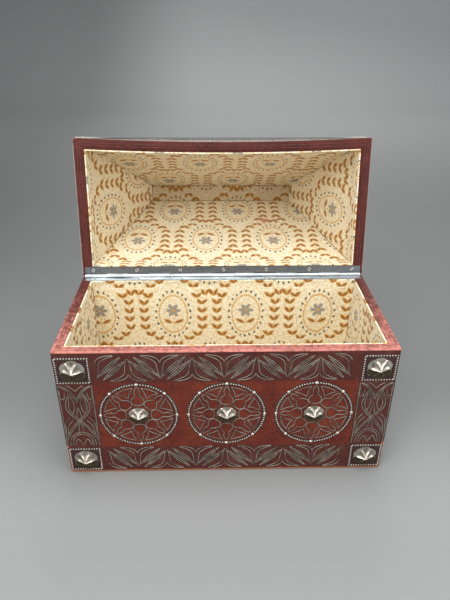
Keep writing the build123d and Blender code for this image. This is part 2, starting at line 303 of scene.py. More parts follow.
@dataclass(frozen=True)
class LeatherFinish:
    """Grained leather with dark tooled ground and edges scuffed to the raw hide; on the base's rim the same
    pale colour is also a painted sheen over the upward faces.
    """

    name: str = "case_leather"
    dark: Colour = (0.040, 0.011, 0.009)
    field: Colour = (0.122, 0.021, 0.014)
    bright: Colour = (0.195, 0.036, 0.017)
    ground: Colour = (0.068, 0.021, 0.019)
    worn_and_sheen: Colour = (0.46, 0.17, 0.075)
    haze: Colour = (0.26, 0.17, 0.13)
    grain: float = 0.0011
    gloss: float = 0.50
    shine: float = 0.17

    def make(self) -> bpy.types.Material:
        """The material."""
        r = Recipe(self.name)
        clouds, fine, grit = r.noise(0.022, 5.0, 0.6), r.noise(0.0028, 4.0, 0.65), r.noise(0.0011, 2.0, 0.6)
        base = r.blend(r.step(clouds, 0.30, 0.72), self.field, self.bright)
        base = r.blend(r.step(fine, 0.46, 0.80) * 0.8, base, self.dark)
        ground = r.painted("ground") * (r.step(fine, 0.20, 0.75) * 0.35 + 0.60)
        base = r.blend(ground, base, self.ground)
        faded = r.step(r.noise(0.016, 4.0, 0.65), 0.50, 0.72) * r.painted("ground")
        base = r.blend(faded * 0.20, base, self.haze)
        base = r.blend(r.step(grit, 0.52, 0.66) * 0.55, base, self.dark)
        base = r.blend(r.step(grit, 0.44, 0.34) * 0.50, base, self.bright)
        pores = r.step(r.cells(self.grain), 0.02, 0.55)
        base = r.blend((1.0 - pores) * 0.35, base, self.dark)
        # edge scuffing, and on the base's rim also a painted sheen over the upward faces
        scuff_and_sheen = r.step(r.painted("wear_and_sheen") * 0.62 + fine * 0.52, 0.60, 0.86)
        flecks = r.step(r.noise(0.0024, 3.0, 0.6), 0.68, 0.76) * 0.8
        base = r.blend(r.most(scuff_and_sheen, flecks), base, self.worn_and_sheen)
        relief = pores * 0.6 + fine * 0.5
        return r.finish(Base_Color=base, Roughness=fine * 0.35 + self.gloss - 0.12 + scuff_and_sheen * 0.15,
                        Normal=r.bump(relief, 0.00022, 0.9), Specular_IOR_Level=self.shine)


@dataclass(frozen=True)
class CottonFinish:
    """Cream cotton printed with oval flower medallions between columns of leaf pairs."""

    name: str = "printed_cotton"
    repeat: float = 67.0
    row: float = 56.0
    cream: Colour = (0.87, 0.74, 0.46)
    pale: Colour = (1.0, 0.96, 0.82)
    straw: Colour = (0.66, 0.47, 0.21)
    leaf: Colour = (0.40, 0.155, 0.020)
    vein: Colour = (0.10, 0.050, 0.014)
    lemon: Colour = (0.95, 0.80, 0.33)
    rim: Colour = (0.70, 0.40, 0.085)
    dot: Colour = (0.085, 0.075, 0.035)
    petal: Colour = (0.070, 0.052, 0.045)
    blot: Colour = (0.62, 0.16, 0.15)
    # painted shade colour, warm like bounced light, for where panels meet and for the deep lid panels
    soil: Colour = (0.30, 0.155, 0.055)
    oval: Point = (13.0, 19.7)
    stack: float = 8.9

    def leaf_shape(self, x: Term, y: Term, middle: Point, angle: float, size: Point) -> Term:
        """How deep a point lies inside a pointed leaf, in millimetres.

        Args:
            x: The point's place along the cloth.
            y: Its place up the cloth.
            middle: Middle of the leaf.
            angle: Direction that it points in, in degrees.
            size: Half its length and half its width.

        Returns:
            The depth, which is negative outside the leaf.
        """
        c, s = math.cos(math.radians(angle)), math.sin(math.radians(angle))
        dx, dy = x - middle[0], y - middle[1]
        run, off = dx * c + dy * s, dy * c - dx * s
        reach = run / size[0]
        return (1.0 - reach * reach) * size[1] - abs(off)

    def leaf_pair(self, x: Term, y: Term, lean: float = 52.0) -> Term:
        """Two leaves that open upwards from one point."""
        return self.leaf_shape(abs(x), y, (2.05, 0.4), lean, (3.8, 1.55))

    def make(self) -> bpy.types.Material:
        """The material."""
        r = Recipe(self.name)
        u, v = r.cloth_place()
        wander = r.noise(9.0, 1.0, 0.5, at=self.flat(r, u, v))
        u, v = u + (wander - 0.5) * 2.4, v + (wander - 0.5) * 1.8
        rows = r.math("FLOOR", (v + self.row / 2) / self.row)
        odd = r.math("FLOORED_MODULO", rows, 2.0)
        y = r.math("FLOORED_MODULO", v + self.row / 2, self.row) - self.row / 2
        x = r.math("FLOORED_MODULO", u + odd * (self.repeat / 2) + self.repeat / 2, self.repeat) \
            - self.repeat / 2
        ax = abs(x)
        mid = self.repeat / 2 - ax
        hand = r.noise(1.3, 3.0, 0.7, at=self.flat(r, u, v))
        ragged = (hand - 0.5) * 2.2
        colour = self.ground_cloth(r, u, v)
        ex, ey = x / self.oval[0], y / self.oval[1]
        ring = r.math("SQRT", ex * ex + ey * ey)
        turn = r.math("ARCTAN2", ey, ex)
        band = 0.95 - abs(ring - 1.0) * 15.5
        beat = r.math("SINE", turn * 44.0) * 0.35
        stem = r.math("MINIMUM", 0.55 - ax, 8.5 - abs(y + 6.0))
        line = r.step(r.most(band + beat, stem) + ragged * 0.7, -0.1, 0.6) * 0.90
        colour = r.blend(line, colour, self.rim)
        leaves = self.all_leaves(r, mid, ax, y)
        colour = r.blend(r.step(leaves + ragged * 0.5, -0.75, -0.25) * 0.95, colour, self.rim)
        core = r.blend(r.step(hand, 0.50, 0.62), self.leaf, self.vein)
        colour = r.blend(r.step(leaves + ragged * 0.9, 0.05, 0.75), colour, core)
        colour = self.spots_and_flower(r, colour, (x, y), (ring, turn), ragged)
        faded = r.noise(5.0, 4.0, 0.75, at=self.flat(r, u, v))
        colour = r.blend(r.step(faded, 0.56, 0.80) * 0.35, colour, self.pale)
        colour = r.blend(r.painted("stain"), colour, self.blot)
        # painted shade: darker where panels meet and over the deep lid panels
        colour = r.blend(r.painted("seam_shade"), colour, self.soil)
        weave = self.weave(r, u, v)
        return r.finish(Base_Color=colour, Roughness=weave * 0.1 + 0.82, Sheen_Weight=0.25,
                        Normal=r.bump(weave, 0.00016, 0.8), Specular_IOR_Level=0.22)

    def ground_cloth(self, r: Recipe, u: Term, v: Term) -> Term:
        """Unbleached cotton with slubs along both threads."""
        warp = r.noise(1.3, 3.0, 0.7, at=self.flat(r, u, v * 0.4))
        weft = r.noise(1.4, 3.0, 0.7, at=self.flat(r, u * 0.4, v))
        slub = warp * 0.5 + weft * 0.5
        colour = r.blend(r.step(slub, 0.47, 0.56), self.cream, self.pale)
        colour = r.blend(r.step(slub, 0.47, 0.39) * 0.80, colour, self.straw)
        flecks = r.noise(1.7, 2.0, 0.6, at=self.flat(r, u, v))
        colour = r.blend(r.step(flecks, 0.56, 0.66) * 0.55, colour, self.lemon)
        age = r.noise(22.0, 4.0, 0.65, at=self.flat(r, u, v))
        return r.blend(r.step(age, 0.50, 0.80) * 0.15, colour, self.straw)

    def all_leaves(self, r: Recipe, mid: Term, ax: Term, y: Term) -> Term:
        """How deep a point lies inside any leaf."""
        stack_y = r.math("FLOORED_MODULO", y + 5.0 + self.stack / 2, self.stack) - self.stack / 2
        stack = r.math("MINIMUM", self.leaf_pair(mid - 6.9, stack_y), 17.6 - abs(y + 0.8))
        fan = [self.leaf_pair(mid - px, y - py, lean)
               for px, py, lean in ((11.6, -21.6, 44.0), (19.4, -27.0, 50.0), (3.6, 22.8, 60.0),
                                    (11.6, 19.6, 42.0))]
        sprout = self.leaf_shape(ax, y, (4.9, -7.6), 30.0, (4.5, 1.6))
        return r.most(stack, sprout, *fan)

    def spots_and_flower(self, r: Recipe, colour: Term, at: tuple[Term, Term], polar: tuple[Term, Term],
                         ragged: Term) -> Term:
        """The dots round an oval and the flower in it.

        Args:
            r: The recipe.
            colour: The cloth so far.
            at: Place from the oval's middle.
            polar: Place in the oval's own measure and its turn.
            ragged: Unevenness of the print, in millimetres.

        Returns:
            The cloth with both.
        """
        x, y = at
        beat = r.math("FRACT", polar[1] * (22.0 / math.tau)) - 0.5
        across, out = beat * 5.6, (polar[0] - 1.215) * 15.5
        dots = 1.45 - r.math("SQRT", across * across + out * out)
        colour = r.blend(r.step(dots + ragged * 0.8, 0.0, 0.6) * 0.92, colour, self.dot)
        fy = y - 4.0
        far = r.math("SQRT", x * x + fy * fy)
        lobes = abs(r.math("COSINE", r.math("ARCTAN2", fy, x) * 3.0))
        bloom = lobes * 4.2 + 3.6 - far
        colour = r.blend(r.step(bloom + ragged * 2.4, 0.2, 1.3) * 0.88, colour, self.petal)
        vein = r.math("SINE", r.math("ARCTAN2", fy, x) * 24.0)
        colour = r.blend(r.step(r.math("MINIMUM", bloom, vein), 0.2, 0.9) * 0.70, colour, self.pale)
        return r.blend(r.step(1.7 - far + ragged, 0.0, 0.8), colour, self.rim)

    def flat(self, r: Recipe, u: Term, v: Term) -> Term:
        """The cloth's own place as one vector."""
        made = r.node("CombineXYZ")
        r.feed(u, made.inputs[0])
        r.feed(v, made.inputs[1])
        return Term(r, made.outputs[0])

    def weave(self, r: Recipe, u: Term, v: Term) -> Term:
        """Height of a plain weave of fine threads."""
        thread = math.tau / 0.55
        return r.math("SINE", u * thread) * r.math("SINE", v * thread) * 0.5 + 0.5


@dataclass(frozen=True)
class MetalFinish:
    """Metal that is bright where handling has polished it and tarnished in its hollows; on the studs the
    painted value also carries painted shade over the lower half of each head.
    """

    name: str
    bright: Colour
    tarnish_and_shade: Colour
    gloss: float = 0.28
    patch: float = 0.004
    hollow: float = 0.5
    scratch: float = 0.00003
    metal: float = 1.0
    stretch: float = 1.0
    # a darker colour for the flat of a hinge leaf away from its knuckle: painted shade
    leaf: Colour | None = None

    def make(self) -> bpy.types.Material:
        """The material."""
        r = Recipe(self.name)
        at = r.stretched((self.stretch, 1.0, 1.0))
        clouds, fine = r.noise(self.patch, 4.0, 0.6, at=at), r.noise(self.patch / 9, 3.0, 0.6, at=at)
        bright = self.bright
        # painted shade: the flat of the leaf darker than the knuckle
        if self.leaf:
            bright = r.blend(r.step(r.from_hinge(), 0.0024, 0.0027), self.bright, self.leaf)
        # dark in the hollows, and on the studs also painted shade over the lower half of each head
        dull = r.step(clouds * 0.7 + fine * 0.3 + (1.0 - r.painted("rubbed_and_lit")) * self.hollow, 0.48, 0.92)
        return r.finish(Base_Color=r.blend(dull, bright, self.tarnish_and_shade), Metallic=self.metal,
                        Roughness=dull * 0.25 + fine * 0.10 + self.gloss,
                        Normal=r.bump(fine, self.scratch, 0.6))


@dataclass(frozen=True)
class PlainFinish:
    """A dull covered or sawn surface with grain along one direction."""

    name: str
    light: Colour
    dark: Colour
    stretch: Point = (1.0, 1.0)
    size: float = 0.004
    rough: float = 0.8
    depth: float = 0.0001

    def make(self) -> bpy.types.Material:
        """The material."""
        r = Recipe(self.name)
        grain = r.noise(self.size, 5.0, 0.65, at=r.stretched((*self.stretch, 1.0)))
        return r.finish(Base_Color=r.blend(r.step(grain, 0.35, 0.70), self.light, self.dark),
                        Roughness=grain * 0.2 + self.rough - 0.1, Normal=r.bump(grain, self.depth, 0.8))


class Finishes:
    """Every material of the casket, made once."""

    def __init__(self) -> None:
        """Makes the materials."""
        self.leather = LeatherFinish().make()
        # painted sheen: the rim's pale pinkish colour marks scuffed edges and also a painted sheen over the
        # base rim's upward faces
        self.rim = LeatherFinish("rim_leather", dark=(0.026, 0.008, 0.008), field=(0.080, 0.017, 0.013),
                                 bright=(0.135, 0.029, 0.021), ground=(0.05, 0.015, 0.015),
                                 worn_and_sheen=(0.62, 0.235, 0.19), grain=0.0008, gloss=0.42, shine=0.16).make()
        self.cotton = CottonFinish().make()
        self.silver_line = MetalFinish("silvered_tooling", (0.37, 0.315, 0.245), (0.10, 0.055, 0.040),
                                       gloss=0.42, patch=0.006, metal=0.45, hollow=0.40).make()
        self.rim_line = PlainFinish("rim_tooling", (0.15, 0.060, 0.050), (0.045, 0.016, 0.014),
                                    size=0.006, rough=0.6).make()
        # painted shade: a near-black finish for the ribbons under tooled lines and the discs under screw
        # heads; it also colours the dark bands of bead rows and squares
        self.groove_shade = PlainFinish("tooled_groove_shade", (0.034, 0.014, 0.012), (0.012, 0.007, 0.007),
                                  size=0.002, rough=0.7).make()
        self.bead = MetalFinish("silvered_beads", (0.60, 0.56, 0.49), (0.13, 0.10, 0.08),
                                gloss=0.34, patch=0.003, hollow=0.2, metal=0.8).make()
        self.pin = MetalFinish("ring_pins", (0.80, 0.76, 0.68), (0.35, 0.29, 0.20), gloss=0.25,
                               hollow=0.2).make()
        self.stud = MetalFinish("faceted_studs", (0.60, 0.555, 0.475), (0.100, 0.076, 0.045), gloss=0.25,
                                patch=0.005, hollow=0.80, scratch=0.00006).make()
        nickel = MetalFinish("hinge_nickel", (0.74, 0.77, 0.78), (0.125, 0.155, 0.17), gloss=0.20,
                             patch=0.005, hollow=0.16, stretch=0.22)
        self.hinge = nickel.make()
        # painted shade: the lid's leaf gets a darker, bluer copy of the nickel, the same metal as the base's
        # leaf
        self.lid_leaf = replace(nickel, name="hinge_nickel_shaded", gloss=0.21,
                                leaf=(0.38, 0.44, 0.48)).make()
        self.screw = MetalFinish("screw_nickel", (0.82, 0.84, 0.84), (0.34, 0.34, 0.34), gloss=0.30,
                                 patch=0.003, hollow=0.1).make()
        self.wood = PlainFinish("carcass_pine", (0.42, 0.25, 0.12), (0.25, 0.13, 0.06),
                                stretch=(0.08, 1.0), size=0.003).make()
        self.underside = PlainFinish("underside_cloth", (0.050, 0.026, 0.022), (0.022, 0.013, 0.012),
                                     size=0.0012, rough=0.92).make()


# ---------------------------------------------------------------- meshes
def new_piece(name: str, bm: bmesh.types.BMesh, *materials: bpy.types.Material) -> bpy.types.Object:
    """Makes an object of a finished bmesh, with its normals outwards.

    Args:
        name: The piece's name.
        bm: The mesh, which is freed.
        materials: Its materials, in slot order.

    Returns:
        The object, at the origin.
    """
    bmesh.ops.recalc_face_normals(bm, faces=bm.faces[:])
    mesh = bpy.data.meshes.new(name)
    bm.to_mesh(mesh)
    bm.free()
    for material in materials:
        mesh.materials.append(material)
    piece = bpy.data.objects.new(name, mesh)
    bpy.context.scene.collection.objects.link(piece)
    return piece


def smooth(piece: bpy.types.Object, angle: float = 35.0) -> bpy.types.Object:
    """Shades a piece smooth except over edges sharper than the angle."""
    mesh = piece.data
    mesh.shade_smooth()
    mesh.set_sharp_from_angle(angle=math.radians(angle))
    return piece


def slab(outer: Sequence[Vector], inner: Sequence[Vector]) -> bmesh.types.BMesh:
    """A flat board from the corners of its outer and its inner face.

    Args:
        outer: Corners left-low, right-low, right-high, left-high.
        inner: The same corners of the other face.

    Returns:
        A bmesh of the board.
    """
    bm = bmesh.new()
    bmesh.ops.create_cube(bm, size=2.0)
    order = {(-1, -1): 0, (1, -1): 1, (1, 1): 2, (-1, 1): 3}
    for vert in bm.verts:
        corner = order[(round(vert.co.x), round(vert.co.y))]
        vert.co = (outer if vert.co.z > 0 else inner)[corner]
    return bm


def soften(bm: bmesh.types.BMesh, width: float, segments: int = 2,
           keep: Callable[[bmesh.types.BMEdge], bool] | None = None) -> None:
    """Rounds edges.

    Args:
        bm: The mesh.
        width: Width of the rounding.
        segments: Its steps.
        keep: Chooses the edges to round, all sharp ones if left out.
    """
    edges = [e for e in bm.edges if (keep(e) if keep else len(e.link_faces) == 2)]
    bmesh.ops.bevel(bm, geom=edges, offset=width, offset_type="OFFSET", segments=segments,
                    affect="EDGES", profile=0.5, material=-1, clamp_overlap=True)


def cut_at(bm: bmesh.types.BMesh, normal: Sequence[float], distance: float, **settings: object) -> None:
    """Cuts a mesh with one plane, at a distance from the origin along its normal."""
    bmesh.ops.bisect_plane(bm, geom=bm.verts[:] + bm.edges[:] + bm.faces[:], dist=TOUCH,
                           plane_co=Vector(normal) * distance, plane_no=normal, **settings)


def slice_across(bm: bmesh.types.BMesh, normal: Sequence[float], start: float, stop: float,
                 pitch: float = BEND_STEP) -> None:
    """Cuts a mesh with evenly spaced planes, so that it can bend."""
    count = max(2, round((stop - start) / pitch))
    for i in range(1, count):
        cut_at(bm, normal, start + (stop - start) * i / count)


def paint(mesh: bpy.types.Mesh, name: str, value_of: Callable[[Vector, Vector], float]) -> None:
    """Stores a value per point, worked out from its place and normal."""
    layer = mesh.attributes.new(name, "FLOAT", "POINT")
    layer.data.foreach_set("value", [value_of(v.co, v.normal) for v in mesh.vertices])


def paint_faces(mesh: bpy.types.Mesh, name: str, value_of: Callable[[Vector, Vector], float]) -> None:
    """Stores a value per face, worked out from its middle and normal."""
    layer = mesh.attributes.new(name, "FLOAT", "FACE")
    layer.data.foreach_set("value", [value_of(p.center, p.normal) for p in mesh.polygons])


def carve(piece: bpy.types.Object, *cutters: bpy.types.Object) -> bpy.types.Object:
    """Takes the cutters' space out of a piece, and removes the cutters."""
    for cutter in cutters:
        tool = piece.modifiers.new("carve", "BOOLEAN")
        tool.object, tool.operation, tool.solver = cutter, "DIFFERENCE", "MANIFOLD"
    bpy.context.view_layer.update()
    ready = piece.evaluated_get(bpy.context.evaluated_depsgraph_get())
    piece.modifiers.clear()
    old, piece.data = piece.data, bpy.data.meshes.new_from_object(ready)
    bpy.data.meshes.remove(old)
    for cutter in cutters:
        bpy.data.objects.remove(cutter)
    return piece


def repeated(name: str, unit: bmesh.types.BMesh, places: Iterable[Matrix],
             material: bpy.types.Material) -> bpy.types.Object:
    """A group of copies of one small shape.

    Args:
        name: The piece's name.
        unit: The shape, which is freed.
        places: One matrix per copy.
        material: The finish.

    Returns:
        The object.
    """
    seed = bpy.data.meshes.new(name + "_seed")
    bmesh.ops.recalc_face_normals(unit, faces=unit.faces[:])
    unit.to_mesh(seed)
    unit.free()
    bm = bmesh.new()
    for place in places:
        copy = seed.copy()
        copy.transform(place)
        bm.from_mesh(copy)
        bpy.data.meshes.remove(copy)
    mesh = bpy.data.meshes.new(name)
    bm.to_mesh(mesh)
    bm.free()
    bpy.data.meshes.remove(seed)
    mesh.materials.append(material)
    mesh.shade_smooth()
    piece = bpy.data.objects.new(name, mesh)
    bpy.context.scene.collection.objects.link(piece)
    return piece


def hand_over(piece: bpy.types.Object, body: str, slot: str, *nodes: str) -> bpy.types.Object:
    """Rides a finished piece on its body and hides the nodes that it stands for.

    Args:
        piece: The finished piece.
        body: The body that it moves with.
        slot: The record's material slot; not used.
        nodes: The nodes that it replaces.

    Returns:
        The piece.
    """
    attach(piece, body)
    if nodes:
        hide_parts(*nodes)
    LOG.info("%s: %d faces on %s", piece.name, len(piece.data.polygons), body)
    return piece


# ---------------------------------------------------------------- sizes from the frame
@dataclass(frozen=True)
class Levels:
    """The lid's outline at one depth in its wall: rim, knee and top."""

    half: Point
    knee: float
    top_half: Point
    top: float


@dataclass
class CaseSizes:
    """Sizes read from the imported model, with the lid closed."""

    hinge: Vector = field(init=False)
    open_angle: float = field(init=False)

    def __post_init__(self) -> None:
        """Reads the nodes."""
        joint = frame["joints"][0]
        self.hinge = Vector(joint["pos_m"])
        self.open_angle = math.radians(joint["range_deg"][1])
        leather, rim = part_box("base_front_leather"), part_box("base_rim_leather")
        floor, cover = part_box("base_floor_lining"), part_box("base_underside_cover")
        self.half_x, self.half_y = leather[1].x, -leather[0].y
        self.leather = self.half_x - cover[1].x
        self.rim_top, self.rim_low = rim[1].z, rim[0].z
        self.lining = floor[1].z - floor[0].z
        self.floor = floor[1].z
        self.base_wall = self.half_x - floor[1].x
        strip, top = self.closed_box("lid_front_wall_lining"), self.closed_box("lid_top_lining")
        self.lid_rim = strip[0].z
        self.lid_wall = self.half_y + strip[1].y
        self.lid_inner = (self.half_x - self.lid_wall, self.half_y - self.lid_wall)
        self.lid_slope = self.closed_box("lid_top_leather")[1].z - top[0].z
        run = self.lid_inner[0] + self.lining - top[1].x
        rise = top[1].z - strip[1].z
        self.slope = math.atan2(rise, run)
        self.top_rate = math.tan(self.slope / 2)
        self.inner_knee = strip[1].z - self.lining * math.tan((math.pi / 2 - self.slope) / 2)
        self.inner_top = top[0].z
        self.inner_top_half = (top[1].x - self.lining * self.top_rate, top[1].y - self.lining * self.top_rate)

    @property
    def opening(self) -> Matrix:
        """Swings a closed lid open."""
        there = Matrix.Translation(self.hinge)
        return there @ Matrix.Rotation(-self.open_angle, 4, "X") @ there.inverted()

    def closed_box(self, node: str) -> tuple[Vector, Vector]:
        """Lowest and highest corner of a lid node with the lid closed."""
        shut = self.opening.inverted()
        points = [shut @ v.co for v in frame["nodes"][node].data.vertices]
        low = Vector(min(p[i] for p in points) for i in range(3))
        high = Vector(max(p[i] for p in points) for i in range(3))
        return low, high

    def lid_levels(self, wall: float, slope: float) -> Levels:
        """The lid's outline at distances outwards from the lining's face.

        Args:
            wall: Distance on the upright walls.
            slope: Distance on the slopes and the top.

        Returns:
            The outline.
        """
        return Levels((self.lid_inner[0] + wall, self.lid_inner[1] + wall),
                      self.inner_knee + (slope - wall * math.sin(self.slope)) / math.cos(self.slope),
                      (self.inner_top_half[0] + slope * self.top_rate,
                       self.inner_top_half[1] + slope * self.top_rate),
                      self.inner_top + slope)

    def swing(self, mesh: bpy.types.Mesh) -> None:
        """Warps a finished mesh of the closed lid and swings it open."""
        opening = self.opening
        for vert in mesh.vertices:
            vert.co = opening @ self.bow(vert.co)

    @property
    def lid_skin(self) -> Levels:
        """The outline of the lid's outside."""
        return self.lid_levels(self.lid_wall, self.lid_slope)

    def bow(self, point: Vector) -> Vector:
        """Where a point of the closed lid lies, now that its front wall has warped inwards.

        Args:
            point: A point of the closed lid as it was made.

        Returns:
            The warped point.
        """
        along = max(0.0, 1.0 - (point.x / self.half_x) ** 2)
        front = min(1.0, max(0.0, -point.y / self.half_y - 0.1) / 0.7)
        up = max(0.0, 1.0 - (point.z - self.lid_rim) / (0.8 * (self.inner_top - self.lid_rim)))
        return point + Vector((0.0, BOW_DEPTH * along * front * front * (3 - 2 * front) * up, 0.0))


@dataclass(frozen=True)
class Face:
    """A flat outside face: the middle of its foot, its directions and its size in millimetres."""

    origin: Vector
    right: Vector
    up: Vector
    width: float
    height: float

    @property
    def matrix(self) -> Matrix:
        """Takes millimetres on the face (x right, y up, z out) to the case's frame."""
        out = self.right.cross(self.up)
        turn = Matrix((self.right, self.up, out)).transposed().to_4x4()
        return Matrix.Translation(self.origin) @ turn @ Matrix.Scale(MM, 4)


# ---------------------------------------------------------------- tooling drawn on a face
@dataclass
class Tooling:
    """Lines and beads on one face, in millimetres, before they are made."""

    lines: list[Run] = field(default_factory=list)
    beads: list[Point] = field(default_factory=list)
    channels: list[Run] = field(default_factory=list)
    bead_pitch: float = 2.05
    bead_radius: float = 0.70

    def line(self, points: Iterable[Point], closed: bool = False, curved: bool = True) -> None:
        """Adds one tooled line."""
        self.lines.append((list(points), closed, curved))

    def circle(self, centre: Point, radius: float, count: int = 30) -> list[Point]:
        """Points round a circle."""
        angles = [math.radians(360.0 * i / count) for i in range(count)]
        return [(centre[0] + radius * math.cos(a), centre[1] + radius * math.sin(a)) for a in angles]

    def lens(self, start: Point, end: Point, bulge: float) -> None:
        """Adds a slim leaf of two bowed lines between two points."""
        mx, my = (start[0] + end[0]) / 2, (start[1] + end[1]) / 2
        length = math.dist(start, end)
        nx, ny = (start[1] - end[1]) / length, (end[0] - start[0]) / length
        for way in (-1, 1):
            self.line([start, (mx + nx * bulge * way, my + ny * bulge * way), end])

    def bead_row(self, points: Sequence[Point], closed: bool = False) -> None:
        """Sets beads at even steps along a broken line, on a flat dark band."""
        path = list(points) + ([points[0]] if closed else [])
        total = sum(math.dist(a, b) for a, b in zip(path, path[1:]))
        count = round(total / self.bead_pitch)
        walked, target, index = 0.0, 0.0, 0
        for a, b in zip(path, path[1:]):
            length = math.dist(a, b)
            while index < count and target <= walked + length + 1e-9:
                t = (target - walked) / length
                self.beads.append((a[0] + (b[0] - a[0]) * t, a[1] + (b[1] - a[1]) * t))
                index += 1
                target = total * index / count
            walked += length
        self.channels.append((list(points), closed, False))

    # -- motifs
    def medallion(self, centre: Point, radius: float, beaded: bool = True) -> None:
        """An eight-fold rosette of tracery inside a ring.

        Args:
            centre: Its middle.
            radius: Radius of the beaded ring.
            beaded: Whether the ring has beads, or is a tooled double line.
        """
        unit = radius / 29.3
        cell = ((0.0, 26.4), (1.5, 24.2), (2.2, 21.6), (1.7, 18.7), (3.2, 16.9), (4.9, 14.2), (4.5, 11.6),
                (3.1, 9.9), (0.0, 9.5))
        for k in range(8):
            a = math.radians(45.0 * k)

            def turned(x: float, r: float) -> Point:
                """A point of the motif, turned to its place."""
                return (centre[0] + unit * (r * math.sin(a) + x * math.cos(a)),
                        centre[1] + unit * (r * math.cos(a) - x * math.sin(a)))

            mirrored = [turned(-x, r) for x, r in cell[-2:0:-1]]
            self.line([turned(x, r) for x, r in cell] + mirrored, closed=True)
            near, far = math.radians(7.5), math.radians(37.5)
            apex = turned(17.6 * math.sin(math.pi / 8), 17.6 * math.cos(math.pi / 8))
            for end, bulge in ((near, 0.9), (far, -0.9)):
                mid_angle = (end + math.pi / 8) / 2 + math.radians(bulge)
                self.line([turned(26.0 * math.sin(end), 26.0 * math.cos(end)),
                           turned(21.4 * math.sin(mid_angle), 21.4 * math.cos(mid_angle)), apex])
            steps = [near + (far - near) * i / 3 for i in range(4)]
            self.line([turned(26.0 * math.sin(t), 26.0 * math.cos(t)) for t in steps])
        circle = self.circle(centre, radius)
        if beaded:
            self.bead_row(circle, closed=True)
        else:
            self.line(circle, closed=True)

    def triangle_band(self, low: Point, high: Point, period: float, start: float) -> None:
        """A row of flattened triangles, each with a three-armed figure inside.

        Args:
            low: Left lower corner of the band.
            high: Right upper corner.
            period: Width of one triangle.
            start: X of a foot vertex.
        """
        middle, half = (low[1] + high[1]) / 2, (high[1] - low[1]) / 2
        half_count = math.ceil((high[0] - low[0]) / period) * 2 + 2
        before = len(self.lines)
        reach = math.hypot(half, period / 4) * 0.73
        for k in range(-half_count, half_count + 1):
            x, way = start + k * period / 2, (-1 if k % 2 == 0 else 1)
            slope = math.atan2(-way * 2.0 * half, period / 2)
            for side in (-1, 1):
                cx = x + period / 4 - side * 2.35 * math.sin(slope)
                cy = middle + side * 2.35 * math.cos(slope)
                run = (math.cos(slope) * reach, math.sin(slope) * reach)
                self.lens((cx - run[0], cy - run[1]), (cx + run[0], cy + run[1]), 1.75)
                self.line([(cx + run[0] * t, cy + run[1] * t) for t in (-0.62, 0.62)])
            self.three_arms(x, middle, half, way, period)
        self.lines[before:] = [run for run in self.lines[before:]
                               if all(low[0] <= px <= high[0] for px, _ in run[0])]

    def three_arms(self, x: float, middle: float, half: float, way: int, period: float) -> None:
        """The figure inside one triangle.

        Args:
            x: Middle of the triangle.
            middle: Height of the band's middle.
            half: Half the band's height.
            way: 1 where the apex is up and -1 where it is down.
            period: Width of the triangle.
        """
        unit, out = way * half / 12.0, period / 47.0
        for side in (-1, 1):
            outer = [(0.5, 9.0), (1.7, 3.8), (2.3, -1.0), (3.3, -5.4), (7.4 * out, -8.9),
                     (13.4 * out, -11.4)]
            inner = [(0.0, -5.6), (1.6, -8.4), (5.0 * out, -10.6), (9.0 * out, -11.6), (13.4 * out, -11.9)]
            for points in (outer, inner):
                self.line([(x + side * px, middle + unit * py) for px, py in points])

    def side_band(self, x: float, low: float, high: float) -> None:
        """An upright panel of pointed-arch tracery between two corner squares.

        Args:
            x: Its middle.
            low: Its lower edge.
            high: Its upper edge.
        """
        unit = (high - low) / 62.0
        single = (((5.6, 81.6), (2.8, 74.0), (2.8, 67.0), (5.0, 61.4)),
                  ((11.9, 84.4), (10.6, 76.0), (8.4, 82.6)),
                  ((11.9, 42.5), (11.2, 52.0), (7.4, 58.6)), ((10.6, 41.0), (9.4, 49.6), (5.4, 55.4)),
                  ((0.4, 52.4), (1.5, 48.2), (2.0, 44.0)), ((0.0, 68.6), (1.2, 63.6), (1.9, 58.6)),
                  ((0.0, 84.0), (3.4, 87.6), (6.0, 89.2)),
                  ((0.0, 29.8), (1.6, 32.4), (3.6, 35.6), (5.4, 32.6), (6.8, 29.6)))

        def add(points: Iterable[Point], way: int, curved: bool = True) -> None:
            """Adds one line of the motif, mirrored where way is -1, and placed."""
            self.line([(x + px * way, low + (py - 28.0) * unit) for px, py in points], curved=curved)

        for way in (-1, 1):
            for d in (0.0, 1.0):
                add(((-12.0, 35.0 + d * 3.4), (-6.4, 45.6 + d * 2.4), (0.0, 54.0 + d * 2.2),
                     (5.4 - d * 0.8, 60.0 + d * 1.6), (9.0 - d * 2.2, 67.2), (8.2 - d * 1.9, 74.0),
                     (5.6, 81.6 - d * 2.6)), way)
                add(((0.0, 73.4 + d * 2.8), (3.4, 80.0 + d * 2.4), (7.4, 85.4 + d * 1.6),
                     (11.8, 88.8 + d * 0.4)), way)
                add(((0.0, 43.4 - d * 2.2), (5.4 - d * 0.5, 41.2 - d * 2.0), (9.0 - d * 1.8, 36.0 - d),
                     (10.2 - d * 2.0, 29.2)), way)
            for points in single:
                add(points, way)
            add(((12.6, 28.4), (12.6, 89.6)), way, curved=False)

    def square(self, centre: Point, half: Point = (13.3, 12.3)) -> None:
        """A beaded frame with a flat dark band inside it."""
        frames = [[(centre[0] + sx * (half[0] - inset), centre[1] + sy * (half[1] - inset))
                   for sx, sy in ((-1, -1), (1, -1), (1, 1), (-1, 1))] for inset in (1.4, 3.9)]
        self.bead_row(frames[0], closed=True)
        self.channels.append((frames[1], True, False))

